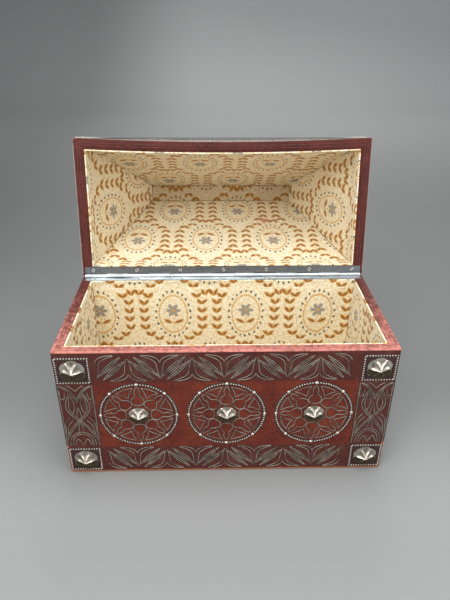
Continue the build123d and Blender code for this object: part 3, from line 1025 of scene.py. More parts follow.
    # -- making
    def swept(self, name: str, runs: Iterable[Run], section: Sequence[Point]) -> bpy.types.Mesh:
        """Draws a section along every run.

        Args:
            name: Name for the mesh.
            runs: Points, whether closed, and whether curved.
            section: The closed section, across and out of the face.

        Returns:
            The mesh, in millimetres on the face.
        """
        outline = bpy.data.curves.new(name + "_section", "CURVE")
        outline.dimensions = "2D"
        spline = outline.splines.new("POLY")
        spline.points.add(len(section) - 1)
        for point, (px, py) in zip(spline.points, section):
            point.co = (px, py, 0.0, 1.0)
        spline.use_cyclic_u = True
        shape = bpy.data.objects.new(name + "_section", outline)
        bpy.context.scene.collection.objects.link(shape)
        curve = bpy.data.curves.new(name, "CURVE")
        curve.dimensions, curve.twist_mode = "3D", "Z_UP"
        curve.bevel_mode, curve.bevel_object, curve.use_fill_caps = "OBJECT", shape, True
        curve.resolution_u = 3
        for points, closed, curved in runs:
            spline = curve.splines.new("BEZIER" if curved else "POLY")
            knots = spline.bezier_points if curved else spline.points
            knots.add(len(points) - 1)
            for knot, (px, py) in zip(knots, points):
                knot.co = (px, py, 0.0) if curved else (px, py, 0.0, 1.0)
                if curved:
                    knot.handle_left_type = knot.handle_right_type = "AUTO"
            spline.use_cyclic_u = closed
        drawn = bpy.data.objects.new(name, curve)
        bpy.context.scene.collection.objects.link(drawn)
        bpy.context.view_layer.update()
        ready = drawn.evaluated_get(bpy.context.evaluated_depsgraph_get())
        mesh = bpy.data.meshes.new_from_object(ready)
        for used in (drawn, shape):
            bpy.data.objects.remove(used)
        return mesh

    def make_lines(self, name: str, face: Face, finishes: Finishes,
                   bent: Callable[[Vector], Vector] | None = None) -> bpy.types.Object:
        """Makes the tooled lines, each a silvered ridge on a flat dark ribbon of painted shade, and the dark
        bands of bead rows and squares.

        Args:
            name: The piece's name.
            face: Where it lies.
            finishes: The materials.
            bent: Moves each finished point, if given.

        Returns:
            The object.
        """
        ridge = ((-0.31, -0.10), (0.31, -0.10), (0.27, 0.12), (0.0, 0.24), (-0.27, 0.12))
        # painted shade: a flat dark ribbon, wider than the ridge, along each line
        groove_shade = ((-0.80, -0.10), (0.80, -0.10), (0.68, 0.030), (-0.68, 0.030))
        channel = ((-1.55, -0.10), (1.55, -0.10), (1.35, 0.05), (-1.35, 0.05))
        bm = bmesh.new()
        layers = ((1, self.lines, groove_shade), (0, self.lines, ridge), (1, self.channels, channel))
        for index, runs, section in (layer for layer in layers if layer[1]):
            mesh = self.swept(name, runs, section)
            start = len(bm.faces)
            bm.from_mesh(mesh)
            bpy.data.meshes.remove(mesh)
            bm.faces.ensure_lookup_table()
            for made in bm.faces[start:]:
                made.material_index = index
        bmesh.ops.transform(bm, matrix=face.matrix, verts=bm.verts)
        bend_all(bm, bent)
        piece = new_piece(name, bm, finishes.silver_line, finishes.groove_shade)
        paint(piece.data, "rubbed_and_lit", lambda co, normal: 0.6 + 0.4 * noise.noise(co * 160))
        return piece

    def make_beads(self, name: str, face: Face, finishes: Finishes) -> bpy.types.Object:
        """Makes the small silvered beads."""
        unit = bmesh.new()
        bmesh.ops.create_uvsphere(unit, u_segments=8, v_segments=6, radius=self.bead_radius)
        places = [face.matrix @ Matrix.Translation((x, y, 0.18)) for x, y in self.beads]
        piece = repeated(name, unit, places, finishes.bead)
        paint(piece.data, "rubbed_and_lit", lambda co, normal: 0.7)
        return piece


def bend_all(bm: bmesh.types.BMesh, bent: Callable[[Vector], Vector] | None) -> None:
    """Moves every point of a mesh by the given rule, if there is one."""
    if bent:
        for vert in bm.verts:
            vert.co = bent(vert.co)


# ---------------------------------------------------------------- studs
@dataclass(frozen=True)
class Stud:
    """A faceted nail head: six spoon-shaped petals that rise to a point."""

    radius: float
    proud: float
    petals: int = 6
    around: int = 72
    rings: int = 12
    scallop: float = 0.14
    hollow: float = 0.37

    def head(self) -> bmesh.types.BMesh:
        """The head, standing on the XY plane, in millimetres."""
        bm = bmesh.new()
        chain = [bm.verts.new((self.radius * i / self.rings, 0.0, 0.0)) for i in range(1, self.rings + 1)]
        chain += [bm.verts.new((self.radius, 0.0, -0.9))]
        edges = [bm.edges.new(pair) for pair in zip(chain, chain[1:])]
        bmesh.ops.spin(bm, geom=chain + edges, cent=(0, 0, 0), axis=(0, 0, 1), angle=math.tau,
                       steps=self.around, use_merge=True)
        bmesh.ops.remove_doubles(bm, verts=bm.verts, dist=1e-4)
        inner = [e for e in bm.edges if e.is_boundary and (e.verts[0].co.length < self.radius / 2)]
        tip = bmesh.ops.edgeloop_fill(bm, edges=inner)["faces"]
        bmesh.ops.poke(bm, faces=tip)
        for vert in bm.verts:
            vert.co = self.formed(vert.co)
        return bm

    def formed(self, co: Vector) -> Vector:
        """Moves a point of the flat disc to the petalled surface."""
        reach = math.hypot(co.x, co.y)
        rho = min(1.0, reach / self.radius)
        angle = math.atan2(co.y, co.x) - math.pi / 2
        petal = abs(math.cos(angle * self.petals / 2))
        edge = 1.0 - self.scallop * (1.0 - petal ** 0.7)
        grow = 1.0 + (edge - 1.0) * rho ** 1.5
        if co.z < -0.5:
            return Vector((co.x * grow, co.y * grow, -0.2))
        ridge = self.proud * ((1.0 - rho) * 0.72 + 0.28 * (1.0 - rho * rho))
        bowl = self.proud * self.hollow * max(0.0, math.sin(math.pi * rho ** 1.15)) * petal ** 0.6
        lip = 0.55 + 0.75 * petal * rho ** 4
        return Vector((co.x * grow, co.y * grow, ridge - bowl + lip))

    def group(self, name: str, places: Sequence[Matrix], finish: bpy.types.Material) -> bpy.types.Object:
        """Copies of the head at each place, painted bright on its ridges, with painted shade over the lower
        half of each head.
        """
        piece = repeated(name, self.head(), places, finish)
        inverse = [place.inverted() for place in places]

        def rubbed_and_lit(co: Vector, normal: Vector) -> float:
            """Brightness of a point by how high it stands in its own petal, less over the lower half of the
            head, where shade is painted.
            """
            local = min((m @ co for m in inverse), key=lambda p: p.length)
            rho = min(1.0, math.hypot(local.x, local.y) / self.radius)
            petal = abs(math.cos((math.atan2(local.y, local.x) - math.pi / 2) * self.petals / 2))
            # painted shade: darker over the lower half of the head, less so on the ridges
            down = min(1.0, max(0.0, 0.10 - local.y / self.radius) * 2.6) * min(1.0, rho * 2.2)
            edge = (1.0 - petal) ** 2.0
            rim = max(0.0, rho - 0.86) * 5.0
            bright = 1.0 - 0.30 * petal * math.sin(math.pi * rho) - down * (1.0 - 0.7 * edge) + rim
            return min(1.0, max(0.0, bright))

        paint(piece.data, "rubbed_and_lit", rubbed_and_lit)
        piece.data.set_sharp_from_angle(angle=math.radians(50))
        return piece


def domed_pins(name: str, places: Sequence[Matrix], finish: bpy.types.Material) -> bpy.types.Object:
    """Round pin heads at each place."""
    unit = bmesh.new()
    bmesh.ops.create_uvsphere(unit, u_segments=16, v_segments=10, radius=1.3)
    bmesh.ops.scale(unit, vec=(1, 1, 0.8), verts=unit.verts)
    piece = repeated(name, unit, [place @ Matrix.Translation((0, 0, 0.1)) for place in places], finish)
    paint(piece.data, "rubbed_and_lit", lambda co, normal: 0.8)
    return piece


# ---------------------------------------------------------------- sub-assemblies
@dataclass
class LeatherCover:
    """The leather over the base and the lid."""

    sizes: CaseSizes
    finishes: Finishes
    edge: float = 0.0016
    wear_width: float = 0.0024
    wear_band: float = 0.0012
    short_of_hinge: float = 5.0

    def barrel_cutter(self, radius: float = BARREL_CHANNEL) -> bpy.types.Object:
        """The round channel of the hinge."""
        hinge_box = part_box("hinge_pin")
        bm = bmesh.new()
        bmesh.ops.create_cone(bm, segments=24, radius1=radius, radius2=radius, cap_ends=True,
                              depth=(hinge_box[1].x - hinge_box[0].x) + 0.0006)
        bmesh.ops.rotate(bm, matrix=Matrix.Rotation(math.pi / 2, 3, "Y"), verts=bm.verts)
        bmesh.ops.translate(bm, vec=self.sizes.hinge, verts=bm.verts)
        return new_piece("barrel_cutter", bm)

    def leaf_cutter(self, wall: float, low: float, high: float) -> bpy.types.Object:
        """The shallow recess of a hinge leaf.

        Args:
            wall: Whole wall thickness under the leaf.
            low: Lowest point of the recess.
            high: Its highest point.

        Returns:
            The cutter.
        """
        s, half = self.sizes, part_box("hinge_pin")[1].x
        near, far = s.half_y - wall + s.lining + 0.0001, s.half_y
        bm = bmesh.new()
        bmesh.ops.create_cube(bm, size=1.0)
        bmesh.ops.scale(bm, vec=(2 * half, far - near, high - low), verts=bm.verts)
        bmesh.ops.translate(bm, vec=(0, (far + near) / 2, (high + low) / 2), verts=bm.verts)
        return new_piece("leaf_cutter", bm)

    def finish_shell(self, name: str, bm: bmesh.types.BMesh, bent: Callable[[Vector], Vector] | None,
                     dark_ground: Callable[[Vector, Vector], float]) -> bpy.types.Object:
        """Gives a shell its scuffed edges, its dark ground and its thickness.

        Args:
            name: The piece's name.
            bm: The outer skin, which is freed.
            bent: Moves each finished point, if given.
            dark_ground: How dark the leather is at a face's middle.

        Returns:
            The piece.
        """
        layer = bm.verts.layers.float.new("wear_and_sheen")
        for vert in bm.verts:
            vert[layer] = 1.0
        flats = [f for f in bm.faces if f.calc_area() > 4e-4]
        bmesh.ops.inset_individual(bm, faces=flats, thickness=self.wear_width, use_even_offset=True)
        for face in flats:
            for vert in face.verts:
                vert[layer] = 0.0
        s = self.sizes
        for vert in (v for v in bm.verts if abs(v.co.z - s.rim_low) < 0.003):
            vert[layer] = min(vert[layer], 0.35)
        slice_across(bm, ACROSS, -s.half_x, s.half_x)
        for normal, distances in ((ACROSS, (-PANEL_X, PANEL_X)), (UPWARD, BAND_EDGES),
                                  ((0.0, 1.0, 0.0), (-PANEL_Y, PANEL_Y))):
            for distance in distances:
                cut_at(bm, normal, distance)
        piece = new_piece(name, bm, self.finishes.leather)
        paint_faces(piece.data, "ground", dark_ground)
        if bent:
            for vert in piece.data.vertices:
                vert.co = bent(vert.co)
        skin = piece.modifiers.new("thickness", "SOLIDIFY")
        skin.thickness, skin.offset, skin.use_even_offset = s.leather, -1.0, True
        return piece

    def make_base(self) -> None:
        """One skin, scuffed at its edges, round the four sides of the base."""
        s = self.sizes
        bm = bmesh.new()
        bmesh.ops.create_cube(bm, size=2.0)
        for vert in bm.verts:
            height = s.rim_low if vert.co.z > 0 else 0.0
            vert.co = Vector((vert.co.x * s.half_x, vert.co.y * s.half_y, height))
        caps = [f for f in bm.faces if abs(f.normal.z) > 0.9]
        bmesh.ops.delete(bm, geom=[f for f in caps if f.calc_center_median().z > 0.01], context="FACES_ONLY")
        soften(bm, self.edge, 3)
        bmesh.ops.delete(bm, geom=[f for f in bm.faces if f.normal.z < -0.99], context="FACES")

        def dark_ground(co: Vector, normal: Vector) -> float:
            """Darker leather under the bands and squares."""
            band = not BAND_EDGES[0] <= co.z <= BAND_EDGES[1]
            side = abs(co.x) > PANEL_X if abs(normal.y) > 0.5 else abs(co.y) > PANEL_Y
            return 1.0 if band or side else 0.0

        piece = self.finish_shell("base_leather_cover", bm, None, dark_ground)
        carve(piece, self.barrel_cutter())
        smooth(piece)
        hand_over(piece, "base", "tooled_case_leather", *(f"base_{side.word}_leather" for side in Side))

    def make_lid(self) -> None:
        """One skin, scuffed at its edges, over the lid: upright walls, hipped slopes and the flat top."""
        s = self.sizes
        outer = s.lid_skin
        bm = bmesh.new()
        bmesh.ops.create_cube(bm, size=2.0)
        low = s.lid_rim + s.leather
        for vert in bm.verts:
            vert.co = Vector((vert.co.x * outer.half[0], vert.co.y * outer.half[1],
                              outer.knee if vert.co.z > 0 else low))
        cap = [f for f in bm.faces if f.normal.z > 0.9]
        grown = bmesh.ops.extrude_face_region(bm, geom=cap)["geom"]
        bmesh.ops.delete(bm, geom=cap, context="FACES_ONLY")
        for vert in (g for g in grown if isinstance(g, bmesh.types.BMVert)):
            vert.co = Vector((math.copysign(outer.top_half[0], vert.co.x),
                              math.copysign(outer.top_half[1], vert.co.y), outer.top))
        bm.normal_update()
        bmesh.ops.delete(bm, geom=[f for f in bm.faces if f.calc_center_median().z < low + 1e-5],
                         context="FACES_ONLY")
        soften(bm, self.edge, 3)

        def dark_ground(co: Vector, normal: Vector) -> float:
            """Darker leather on the upright walls and the flat top."""
            return 1.0 if co.z < outer.knee or co.z > outer.top - 0.002 else 0.35

        piece = self.finish_shell("lid_leather_cover", bm, s.bow, dark_ground)
        carve(piece, self.barrel_cutter())
        piece.data.transform(s.opening)
        smooth(piece, 25)
        sides = [f"lid_{side.word}_leather" for side in Side]
        hand_over(piece, "lid", "tooled_case_leather", "lid_top_leather", *sides)

    def make_rim(self, name: str, wall: float, low: float, high: float, lid: bool) -> None:
        """Four mitred strips over a rim, with a pair of tooled lines.

        Args:
            name: The piece's name, which starts the name of its node.
            wall: Whole wall thickness under it.
            low: Its underside.
            high: Its top.
            lid: Whether it belongs to the lid.
        """
        s, width = self.sizes, wall - self.sizes.lining
        whole = bmesh.new()
        rounds = []
        for cut, z in ((0.0, high), (width, high), (width, low), (0.0, low)):
            rounds.append([whole.verts.new((x * (s.half_x - cut), y * (s.half_y - cut), z))
                           for x, y in ((-1, -1), (1, -1), (1, 1), (-1, 1))])
        for first, second in zip(rounds, rounds[1:] + rounds[:1]):
            for i in range(4):
                j = (i + 1) % 4
                whole.faces.new((first[i], first[j], second[j], second[i]))
        bmesh.ops.recalc_face_normals(whole, faces=whole.faces[:])
        soften(whole, 0.0006, 3, lambda e: len(set(round(v.co.z, 5) for v in e.verts)) == 1
               and not e.is_boundary and e.calc_face_angle(0.0) > 0.5)
        slice_across(whole, ACROSS, -s.half_x, s.half_x)
        bend_all(whole, s.bow if lid else None)
        piece = new_piece(name, whole, self.finishes.rim)
        near, far = (low - 0.001, low + LEAF_RECESS) if lid else (high - LEAF_RECESS, high + 0.001)
        carve(piece, self.barrel_cutter(), self.leaf_cutter(wall, near, far))

        def wear_and_sheen(co: Vector, normal: Vector) -> float:
            """Scuffed along the outer edge, with a painted sheen over the upward faces of the base's rim,
            stronger towards the front.
            """
            edge = max(abs(co.x) - s.half_x, abs(co.y) - s.half_y) + self.wear_band
            forward = min(1.0, max(0.0, -co.y / s.half_y - 0.2))
            # painted sheen: the base rim's upward faces lighter, more so towards the front
            rubbed_and_lit = 0.0 if lid or normal.z < 0.5 else 0.52 + 0.40 * forward
            return max(rubbed_and_lit, min(1.0, max(0.0, edge / self.wear_band)) * 0.9)

        paint(piece.data, "wear_and_sheen", wear_and_sheen)
        paint(piece.data, "ground", lambda co, normal: 0.0)
        if lid:
            piece.data.transform(s.opening)
        smooth(piece)
        body = "lid" if lid else "base"
        hand_over(piece, body, "maroon_rim_leather", name + "_leather")
        self.rim_lines(body, wall, low if lid else high, lid)

    def rim_lines(self, body: str, wall: float, level: float, lid: bool) -> None:
        """The pair of fine lines pressed along the front and the ends of the rim.

        Args:
            body: The body that they move with.
            wall: Whole wall thickness under the rim.
            level: Height of the rim's open face.
            lid: Whether they belong to the lid.
        """
        s = self.sizes
        drawing = Tooling()
        for cut in (wall * 0.30, wall * 0.52):
            half_x, half_y = (s.half_x - cut) / MM, (s.half_y - cut) / MM
            back = half_y - self.short_of_hinge
            points = [(half_x, back), (half_x, -half_y), (-half_x, -half_y), (-half_x, back)]
            steps = []
            for a, b in zip(points, points[1:]):
                steps += [(a[0] + (b[0] - a[0]) * t / 8, a[1] + (b[1] - a[1]) * t / 8) for t in range(8)]
            drawing.line(steps + [points[-1]], curved=False)
        section = ((-0.22, -0.05), (0.22, -0.05), (0.10, 0.07), (-0.10, 0.07))
        bm = bmesh.new()
        mesh = drawing.swept(body + "_rim_lines", drawing.lines, section)
        bm.from_mesh(mesh)
        bpy.data.meshes.remove(mesh)
        flip = Matrix.Scale(-1 if lid else 1, 4, Vector(UPWARD))
        place = Matrix.Translation((0, 0, level)) @ flip @ Matrix.Scale(MM, 4)
        bmesh.ops.transform(bm, matrix=place, verts=bm.verts)
        if lid:
            bend_all(bm, s.bow)
            bmesh.ops.transform(bm, matrix=s.opening, verts=bm.verts)
        piece = new_piece(body + "_rim_lines", bm, self.finishes.rim_line)
        hand_over(piece, body, "maroon_rim_leather")


Rows = Sequence[tuple[Vector, Vector]]


@dataclass
class Lining:
    """Printed cotton glued over card, panel by panel."""

    sizes: CaseSizes
    finishes: Finishes
    roll: float = 0.0007
    edge_gap: float = 0.0002
    cut_step: float = 0.006
    blot_radius: float = 0.0065
    # painted shade, warm like bounced light, over the flat faces of four lid panels
    painted_panel_shade: dict[str, float] = field(default_factory=lambda: {
        "lid_top_lining": 0.46, "lid_front_slope_lining": 0.14, "lid_left_slope_lining": 0.08,
        "lid_right_slope_lining": 0.12})

    def folded(self, inner: Rows, outer: Rows) -> bmesh.types.BMesh:
        """A panel, folded along its inner rows.

        Args:
            inner: Left and right end of each row of the cloth's face, from the foot up.
            outer: The same rows on the card's back.

        Returns:
            A bmesh of the panel.
        """
        bm = bmesh.new()
        a, b = ([[bm.verts.new(p) for p in row] for row in layer] for layer in (inner, outer))
        for i in range(len(a) - 1):
            for layer in (a, b):
                bm.faces.new((layer[i][0], layer[i][1], layer[i + 1][1], layer[i + 1][0]))
            for end in (0, 1):
                bm.faces.new((a[i][end], a[i + 1][end], b[i + 1][end], b[i][end]))
        for i in (0, -1):
            bm.faces.new((a[i][0], a[i][1], b[i][1], b[i][0]))
        bmesh.ops.recalc_face_normals(bm, faces=bm.faces[:])
        return bm

    def panel(self, nodes: Sequence[str], inner: Rows, outer: Rows, centre: Point,
              turned: bool = False) -> None:
        """One panel with its print.

        Args:
            nodes: The nodes that it stands for.
            inner: Left and right end of each row of the cloth's face, from the foot up.
            outer: The same rows on the card's back.
            centre: Where a flower medallion lies, in millimetres from the last fold's middle.
            turned: Whether the print is upside down.
        """
        s, lid = self.sizes, nodes[0].startswith("lid")
        middles = [(left + right) / 2 for left, right in inner]
        along = (inner[-2][1] - inner[-2][0]).normalized()
        ways = [(high - low).normalized() for low, high in zip(middles, middles[1:])]
        origin, up = middles[-2], ways[-1]
        bm = self.folded(inner, outer)
        soften(bm, self.roll, 3, lambda e: e.calc_face_angle(0.0) > 0.5)
        span = max((right - left).length for left, right in inner)
        slice_across(bm, along, -span / 2, span / 2, self.cut_step)
        slice_across(bm, up, origin.dot(up), middles[-1].dot(up), self.cut_step)
        bm.normal_update()
        inward = [way.cross(along) for way in ways]
        inward = [n if (inner[0][0] - outer[0][0]).dot(n) > 0 else -n for n in inward]
        for vert in bm.verts:
            if max(vert.normal.dot(n) for n in inward) > 0.9:
                wave = noise.noise(vert.co * 45.0) * 0.00035 + noise.noise(vert.co * 130.0) * 0.00015
                vert.co += vert.normal * (wave - 0.0003)
        layer = bm.loops.layers.uv.new("cloth")
        sign = -1.0 if turned else 1.0
        for face in bm.faces:
            low = len(ways) > 1 and face.calc_center_median().z < origin.z
            way = ways[0] if low else up
            for loop in face.loops:
                offset = loop.vert.co - origin
                loop[layer].uv = (sign * (offset.dot(along) / MM - centre[0]),
                                  sign * (offset.dot(way) / MM - centre[1]))
        piece = new_piece(nodes[0], bm, self.finishes.cotton)
        spot = origin + along * -0.0445 + up * 0.0700
        stained = "lid_back_slope_lining" in nodes
        rim = s.lid_rim if lid else s.rim_top

        def blot(co: Vector, normal: Vector) -> float:
            """The one red mark, on the lid's back slope."""
            return max(0.0, 1.0 - (co - spot).length / self.blot_radius) ** 0.7 * 0.75 if stained else 0.0

        def seam_shade(co: Vector, normal: Vector) -> float:
            """Painted shade where two panels meet, but not along the rim, and an even painted shade over the
            flat faces of some lid panels.
            """
            if max(normal.dot(n) for n in inward) > 0.97:
                return self.painted_panel_shade.get(nodes[0], 0.0)
            return 0.0 if abs(co.z - rim) < 0.002 else 0.9

        paint(piece.data, "stain", blot)
        paint(piece.data, "seam_shade", seam_shade)
        if lid:
            s.swing(piece.data)
        smooth(piece, 60)
        hand_over(piece, "lid" if lid else "base", "printed_cotton_lining", *nodes)

    def make_base(self) -> None:
        """Four walls and the floor of the base."""
        s = self.sizes
        half = (s.half_x - s.base_wall, s.half_y - s.base_wall)
        prints = {Side.BACK: (-20.5, 75.0), Side.FRONT: (12.0, 72.0), Side.LEFT: (-20.0, 80.0),
                  Side.RIGHT: (31.0, 80.0)}
        for side, centre in prints.items():
            layers = []
            for out in (0.0, s.lining):
                layers.append([tuple(side.corner(end, half[0] + out, half[1] + out, z) for end in (-1, 1))
                               for z in (s.floor, s.rim_top - self.edge_gap)])
            self.panel([f"base_{side.word}_lining"], *layers, centre)
        layers = [[tuple(Vector((x * half[0], y * half[1], z)) for x in (-1, 1)) for y in (-1, 1)]
                  for z in (s.floor, s.floor - s.lining)]
        self.panel(["base_floor_lining"], *layers, (6.0, 50.0))

    def make_lid(self) -> None:
        """The four sides, each folded over the rail's edge, and the flat top."""
        s = self.sizes
        inner, outer = s.lid_levels(0.0, 0.0), s.lid_levels(s.lining, s.lining)
        prints = {Side.BACK: (16.2, 36.0, True), Side.FRONT: (-21.0, 34.0, False),
                  Side.LEFT: (-8.5, 27.0, False), Side.RIGHT: (7.5, 31.0, True)}
        for side, (along, up, turned) in prints.items():
            layers = [[tuple(side.corner(end, *half, z) for end in (-1, 1))
                       for half, z in ((at.half, s.lid_rim + self.edge_gap), (at.half, at.knee),
                                       (at.top_half, at.top))]
                      for at in (inner, outer)]
            nodes = [f"lid_{side.word}_slope_lining", f"lid_{side.word}_wall_lining"]
            self.panel(nodes, *layers, (along, up), turned)
        layers = [[tuple(Vector((x * at.top_half[0], y * at.top_half[1], at.top)) for x in (-1, 1))
                   for y in (-1, 1)] for at in (inner, outer)]
        self.panel(["lid_top_lining"], *layers, (-16.0, -20.0))


@dataclass
class WarpedBoards:
    """The front rail and slope board of the lid, bowed with everything glued to them."""

    sizes: CaseSizes
    finishes: Finishes

    def make(self) -> None:
        """Both boards."""
        s = self.sizes
        near = s.lid_levels(s.lining, s.lining)
        far = s.lid_levels(s.lid_wall - s.leather, s.lid_slope - s.leather)
        rail, slope = [], []
        foot = s.lid_rim + s.leather
        for at in (far, near):
            rail.append([Side.FRONT.corner(end, *at.half, z)
                         for end, z in ((-1, foot), (1, foot), (1, at.knee), (-1, at.knee))])
            slope.append([Side.FRONT.corner(end, *at.half, at.knee) for end in (-1, 1)]
                         + [Side.FRONT.corner(end, *at.top_half, at.top) for end in (1, -1)])
        for name, faces in (("lid_front_rail", rail), ("lid_front_slope_board", slope)):
            bm = slab(*faces)
            slice_across(bm, ACROSS, -s.half_x, s.half_x)
            slice_across(bm, UPWARD, s.lid_rim, s.inner_top, 0.016)
            bend_all(bm, s.bow)
            bmesh.ops.transform(bm, matrix=s.opening, verts=bm.verts)
            hand_over(smooth(new_piece(name, bm, self.finishes.wood)), "lid", "carcass_wood", name)


@dataclass
class Ornament:
    """Tooling, beads, studs and pins on every outside face."""

    sizes: CaseSizes
    finishes: Finishes
    pitch: float = 67.5
    medallion_up: float = 60.3
    ring: float = 29.3
    lid_pitch: float = 62.0
    lid_ring: float = 26.0
    lid_up: float = 44.0
    square_in: float = 14.3
    squares: Point = (15.0, 102.7)
    pins: int = 8
    margin: float = 3.0
    studded: tuple[Side, ...] = (Side.FRONT, Side.LEFT, Side.RIGHT)

    def base_face(self, side: Side) -> Face:
        """An upright outside face of the base."""
        s = self.sizes
        half, width = (s.half_y, s.half_x) if side.wide else (s.half_x, s.half_y)
        return Face(side.outward * half, side.along, Vector(UPWARD), 2 * width / MM, s.rim_top / MM)

    def slope_face(self, side: Side) -> Face:
        """A sloping outside face of the closed lid, from its knee up."""
        s = self.sizes
        at = s.lid_skin
        half, width = (at.half[1], at.half[0]) if side.wide else at.half
        up = -side.outward * math.cos(s.slope) + Vector((0, 0, math.sin(s.slope)))
        height = (at.top - at.knee) / math.sin(s.slope)
        foot = side.outward * half + Vector((0, 0, at.knee))
        return Face(foot, side.along, up, 2 * width / MM, height / MM)

    def wall_face(self, side: Side) -> Face:
        """An upright outside face of the closed lid."""
        s = self.sizes
        at = s.lid_skin
        base = self.base_face(side)
        return Face(Vector((base.origin.x, base.origin.y, s.lid_rim)), side.along, Vector(UPWARD),
                    base.width, (at.knee - s.lid_rim) / MM)

    def medallions(self, side: Side, pitch: float, up: float) -> list[Point]:
        """Middles of a side's medallions."""
        return [(i * pitch, up) for i in (-1, 0, 1)] if side.wide else [(0.0, up)]

    def draw_base(self, side: Side) -> Tooling:
        """The tooling of one side of the base."""
        face, drawing = self.base_face(side), Tooling()
        for centre in self.medallions(side, self.pitch, self.medallion_up):
            drawing.medallion(centre, self.ring, beaded=side is not Side.BACK)
        half = face.width / 2
        edge = half - 2 * self.square_in + 0.2
        period = 47.0 if side.wide else 2 * edge / 1.5
        drawing.triangle_band((-edge, 92.6), (edge, 116.0), period, -2.0 if side.wide else 0.0)
        drawing.triangle_band((-edge, 3.6), (edge, 27.2), period, -24.5 if side.wide else period / 2)
        for way in (-1, 1):
            x = way * (half - self.square_in + 0.4)
            drawing.side_band(x, 28.6, 89.8)
            for z in self.squares:
                drawing.square((x, z))
        return drawing

    def draw_slope(self, side: Side) -> Tooling:
        """The tooling of one slope of the lid."""
        face, drawing = self.slope_face(side), Tooling()
        for centre in self.medallions(side, self.lid_pitch, self.lid_up):
            drawing.medallion(centre, self.lid_ring, beaded=side is not Side.BACK)
        lean = (face.width / 2 - self.top_half(side)) / face.height
        for inset in (3.0, 5.2):
            foot, head = inset, face.height - inset
            corners = [(face.width / 2 - inset * 1.2 - lean * foot, foot),
                       (face.width / 2 - inset * 1.2 - lean * head, head)]
            drawing.line([(-corners[0][0], foot), corners[0], corners[1], (-corners[1][0], head)],
                         closed=True, curved=False)
        half = face.width / 2 - lean * 100.0 - 8.0
        drawing.triangle_band((-half, 78.0), (half, 98.0), 40.0 if half > 40 else half, 0.0)
        return drawing

    def top_half(self, side: Side) -> float:
        """Half the top edge of a slope, in millimetres."""
        at = self.sizes.lid_skin
        return at.top_half[0 if side.wide else 1] / MM

    def make_tooling(self) -> None:
        """Lines and beads of all faces."""
        s = self.sizes
        for side in Side:
            face, drawing = self.base_face(side), self.draw_base(side)
            lines = drawing.make_lines(f"base_{side.word}_tooling", face, self.finishes)
            hand_over(lines, "base", "silvered_wire")
            beads = drawing.make_beads(f"base_{side.word}_beads", face, self.finishes)
            rings = ["base_medallion_rings"] if side is Side.FRONT else []
            hand_over(beads, "base", "silvered_wire", *rings)
            face, drawing = self.slope_face(side), self.draw_slope(side)
            self.on_lid(f"lid_{side.word}_slope", face, drawing, side is Side.FRONT)
            face, drawing = self.wall_face(side), Tooling(bead_radius=0.95)
            half = face.width / 2 - self.margin
            drawing.triangle_band((-half, 3.4), (half, face.height - 1.8), 42.0, 0.0)
            for z in (1.9, face.height - 1.2):
                drawing.bead_row([(-half, z), (half, z)])
            self.on_lid(f"lid_{side.word}_wall", face, drawing, False)
        at = s.lid_skin
        top = Face(Vector((0, 0, at.top)), Vector((1, 0, 0)), Vector((0, 1, 0)), 2 * at.top_half[0] / MM, 0.0)
        drawing = Tooling()
        hx, hy = (half / MM - self.margin for half in at.top_half)
        drawing.triangle_band((-hx + 1.5, -hy + 1.5), (hx - 1.5, hy - 1.5), 38.0, 0.0)
        drawing.bead_row([(-hx, -hy), (hx, -hy), (hx, hy), (-hx, hy)], closed=True)
        self.on_lid("lid_top", top, drawing, False)

    def on_lid(self, name: str, face: Face, drawing: Tooling, stands_for_rings: bool) -> None:
        """Makes a lid face's lines and beads, warped and swung open with the lid."""
        pieces = [drawing.make_lines(name + "_tooling", face, self.finishes)]
        if drawing.beads:
            pieces.append(drawing.make_beads(name + "_beads", face, self.finishes))
        for piece in pieces:
            self.sizes.swing(piece.data)
            rings = ["lid_medallion_rings"] if stands_for_rings and piece is pieces[-1] else []
            hand_over(piece, "lid", "silvered_wire", *rings)

    def make_studs(self) -> None:
        """Corner studs, medallion bosses and ring pins."""
        s = self.sizes
        proud = (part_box("base_front_corner_studs")[0].y + s.half_y) / -MM
        corner, boss = Stud(9.8, proud - 1.0), Stud(8.1, proud - 1.0)
        studs: dict[str, list[Matrix]] = {"base_front_corner_studs": [], "base_side_corner_studs": []}
        bosses: dict[str, list[Matrix]] = {"base_front_bosses": [], "base_side_bosses": []}
        rings: list[Matrix] = []
        for side in self.studded:
            face, key = self.base_face(side), "front" if side is Side.FRONT else "side"
            for way in (-1, 1):
                for z in self.squares:
                    place = Matrix.Translation((way * (face.width / 2 - self.square_in), z, 0.0))
                    studs[f"base_{key}_corner_studs"].append(face.matrix @ place)
            for x, z in self.medallions(side, self.pitch, self.medallion_up):
                bosses[f"base_{key}_bosses"].append(face.matrix @ Matrix.Translation((x, z, 0.0)))
                rings += self.pin_places(face, (x, z), self.ring)
        for stud, groups in ((corner, studs), (boss, bosses)):
            for name, places in groups.items():
                hand_over(stud.group(name, places, self.finishes.stud), "base", "silvered_studs", name)
        self.make_pins("base", rings)
        places, rings = [], []
        for side in self.studded:
            face = self.slope_face(side)
            for x, up in self.medallions(side, self.lid_pitch, self.lid_up):
                places.append(s.opening @ face.matrix @ Matrix.Translation((x, up, 0.0)))
                rings += [s.opening @ place for place in self.pin_places(face, (x, up), self.lid_ring)]
        name = "lid_slope_bosses"
        hand_over(boss.group(name, places, self.finishes.stud), "lid", "silvered_studs", name)
        self.make_pins("lid", rings)

    def make_pins(self, body: str, places: Sequence[Matrix]) -> None:
        """The ring pins of one body."""
        name = body + "_ring_pins"
        hand_over(domed_pins(name, places, self.finishes.pin), body, "silvered_wire", name)

    def pin_places(self, face: Face, centre: Point, radius: float) -> list[Matrix]:
        """Where the pins of one ring stand."""
        angles = [math.tau * i / self.pins for i in range(self.pins)]
        return [face.matrix @ Matrix.Translation((centre[0] + radius * math.cos(a),
                                                  centre[1] + radius * math.sin(a), 0.0)) for a in angles]


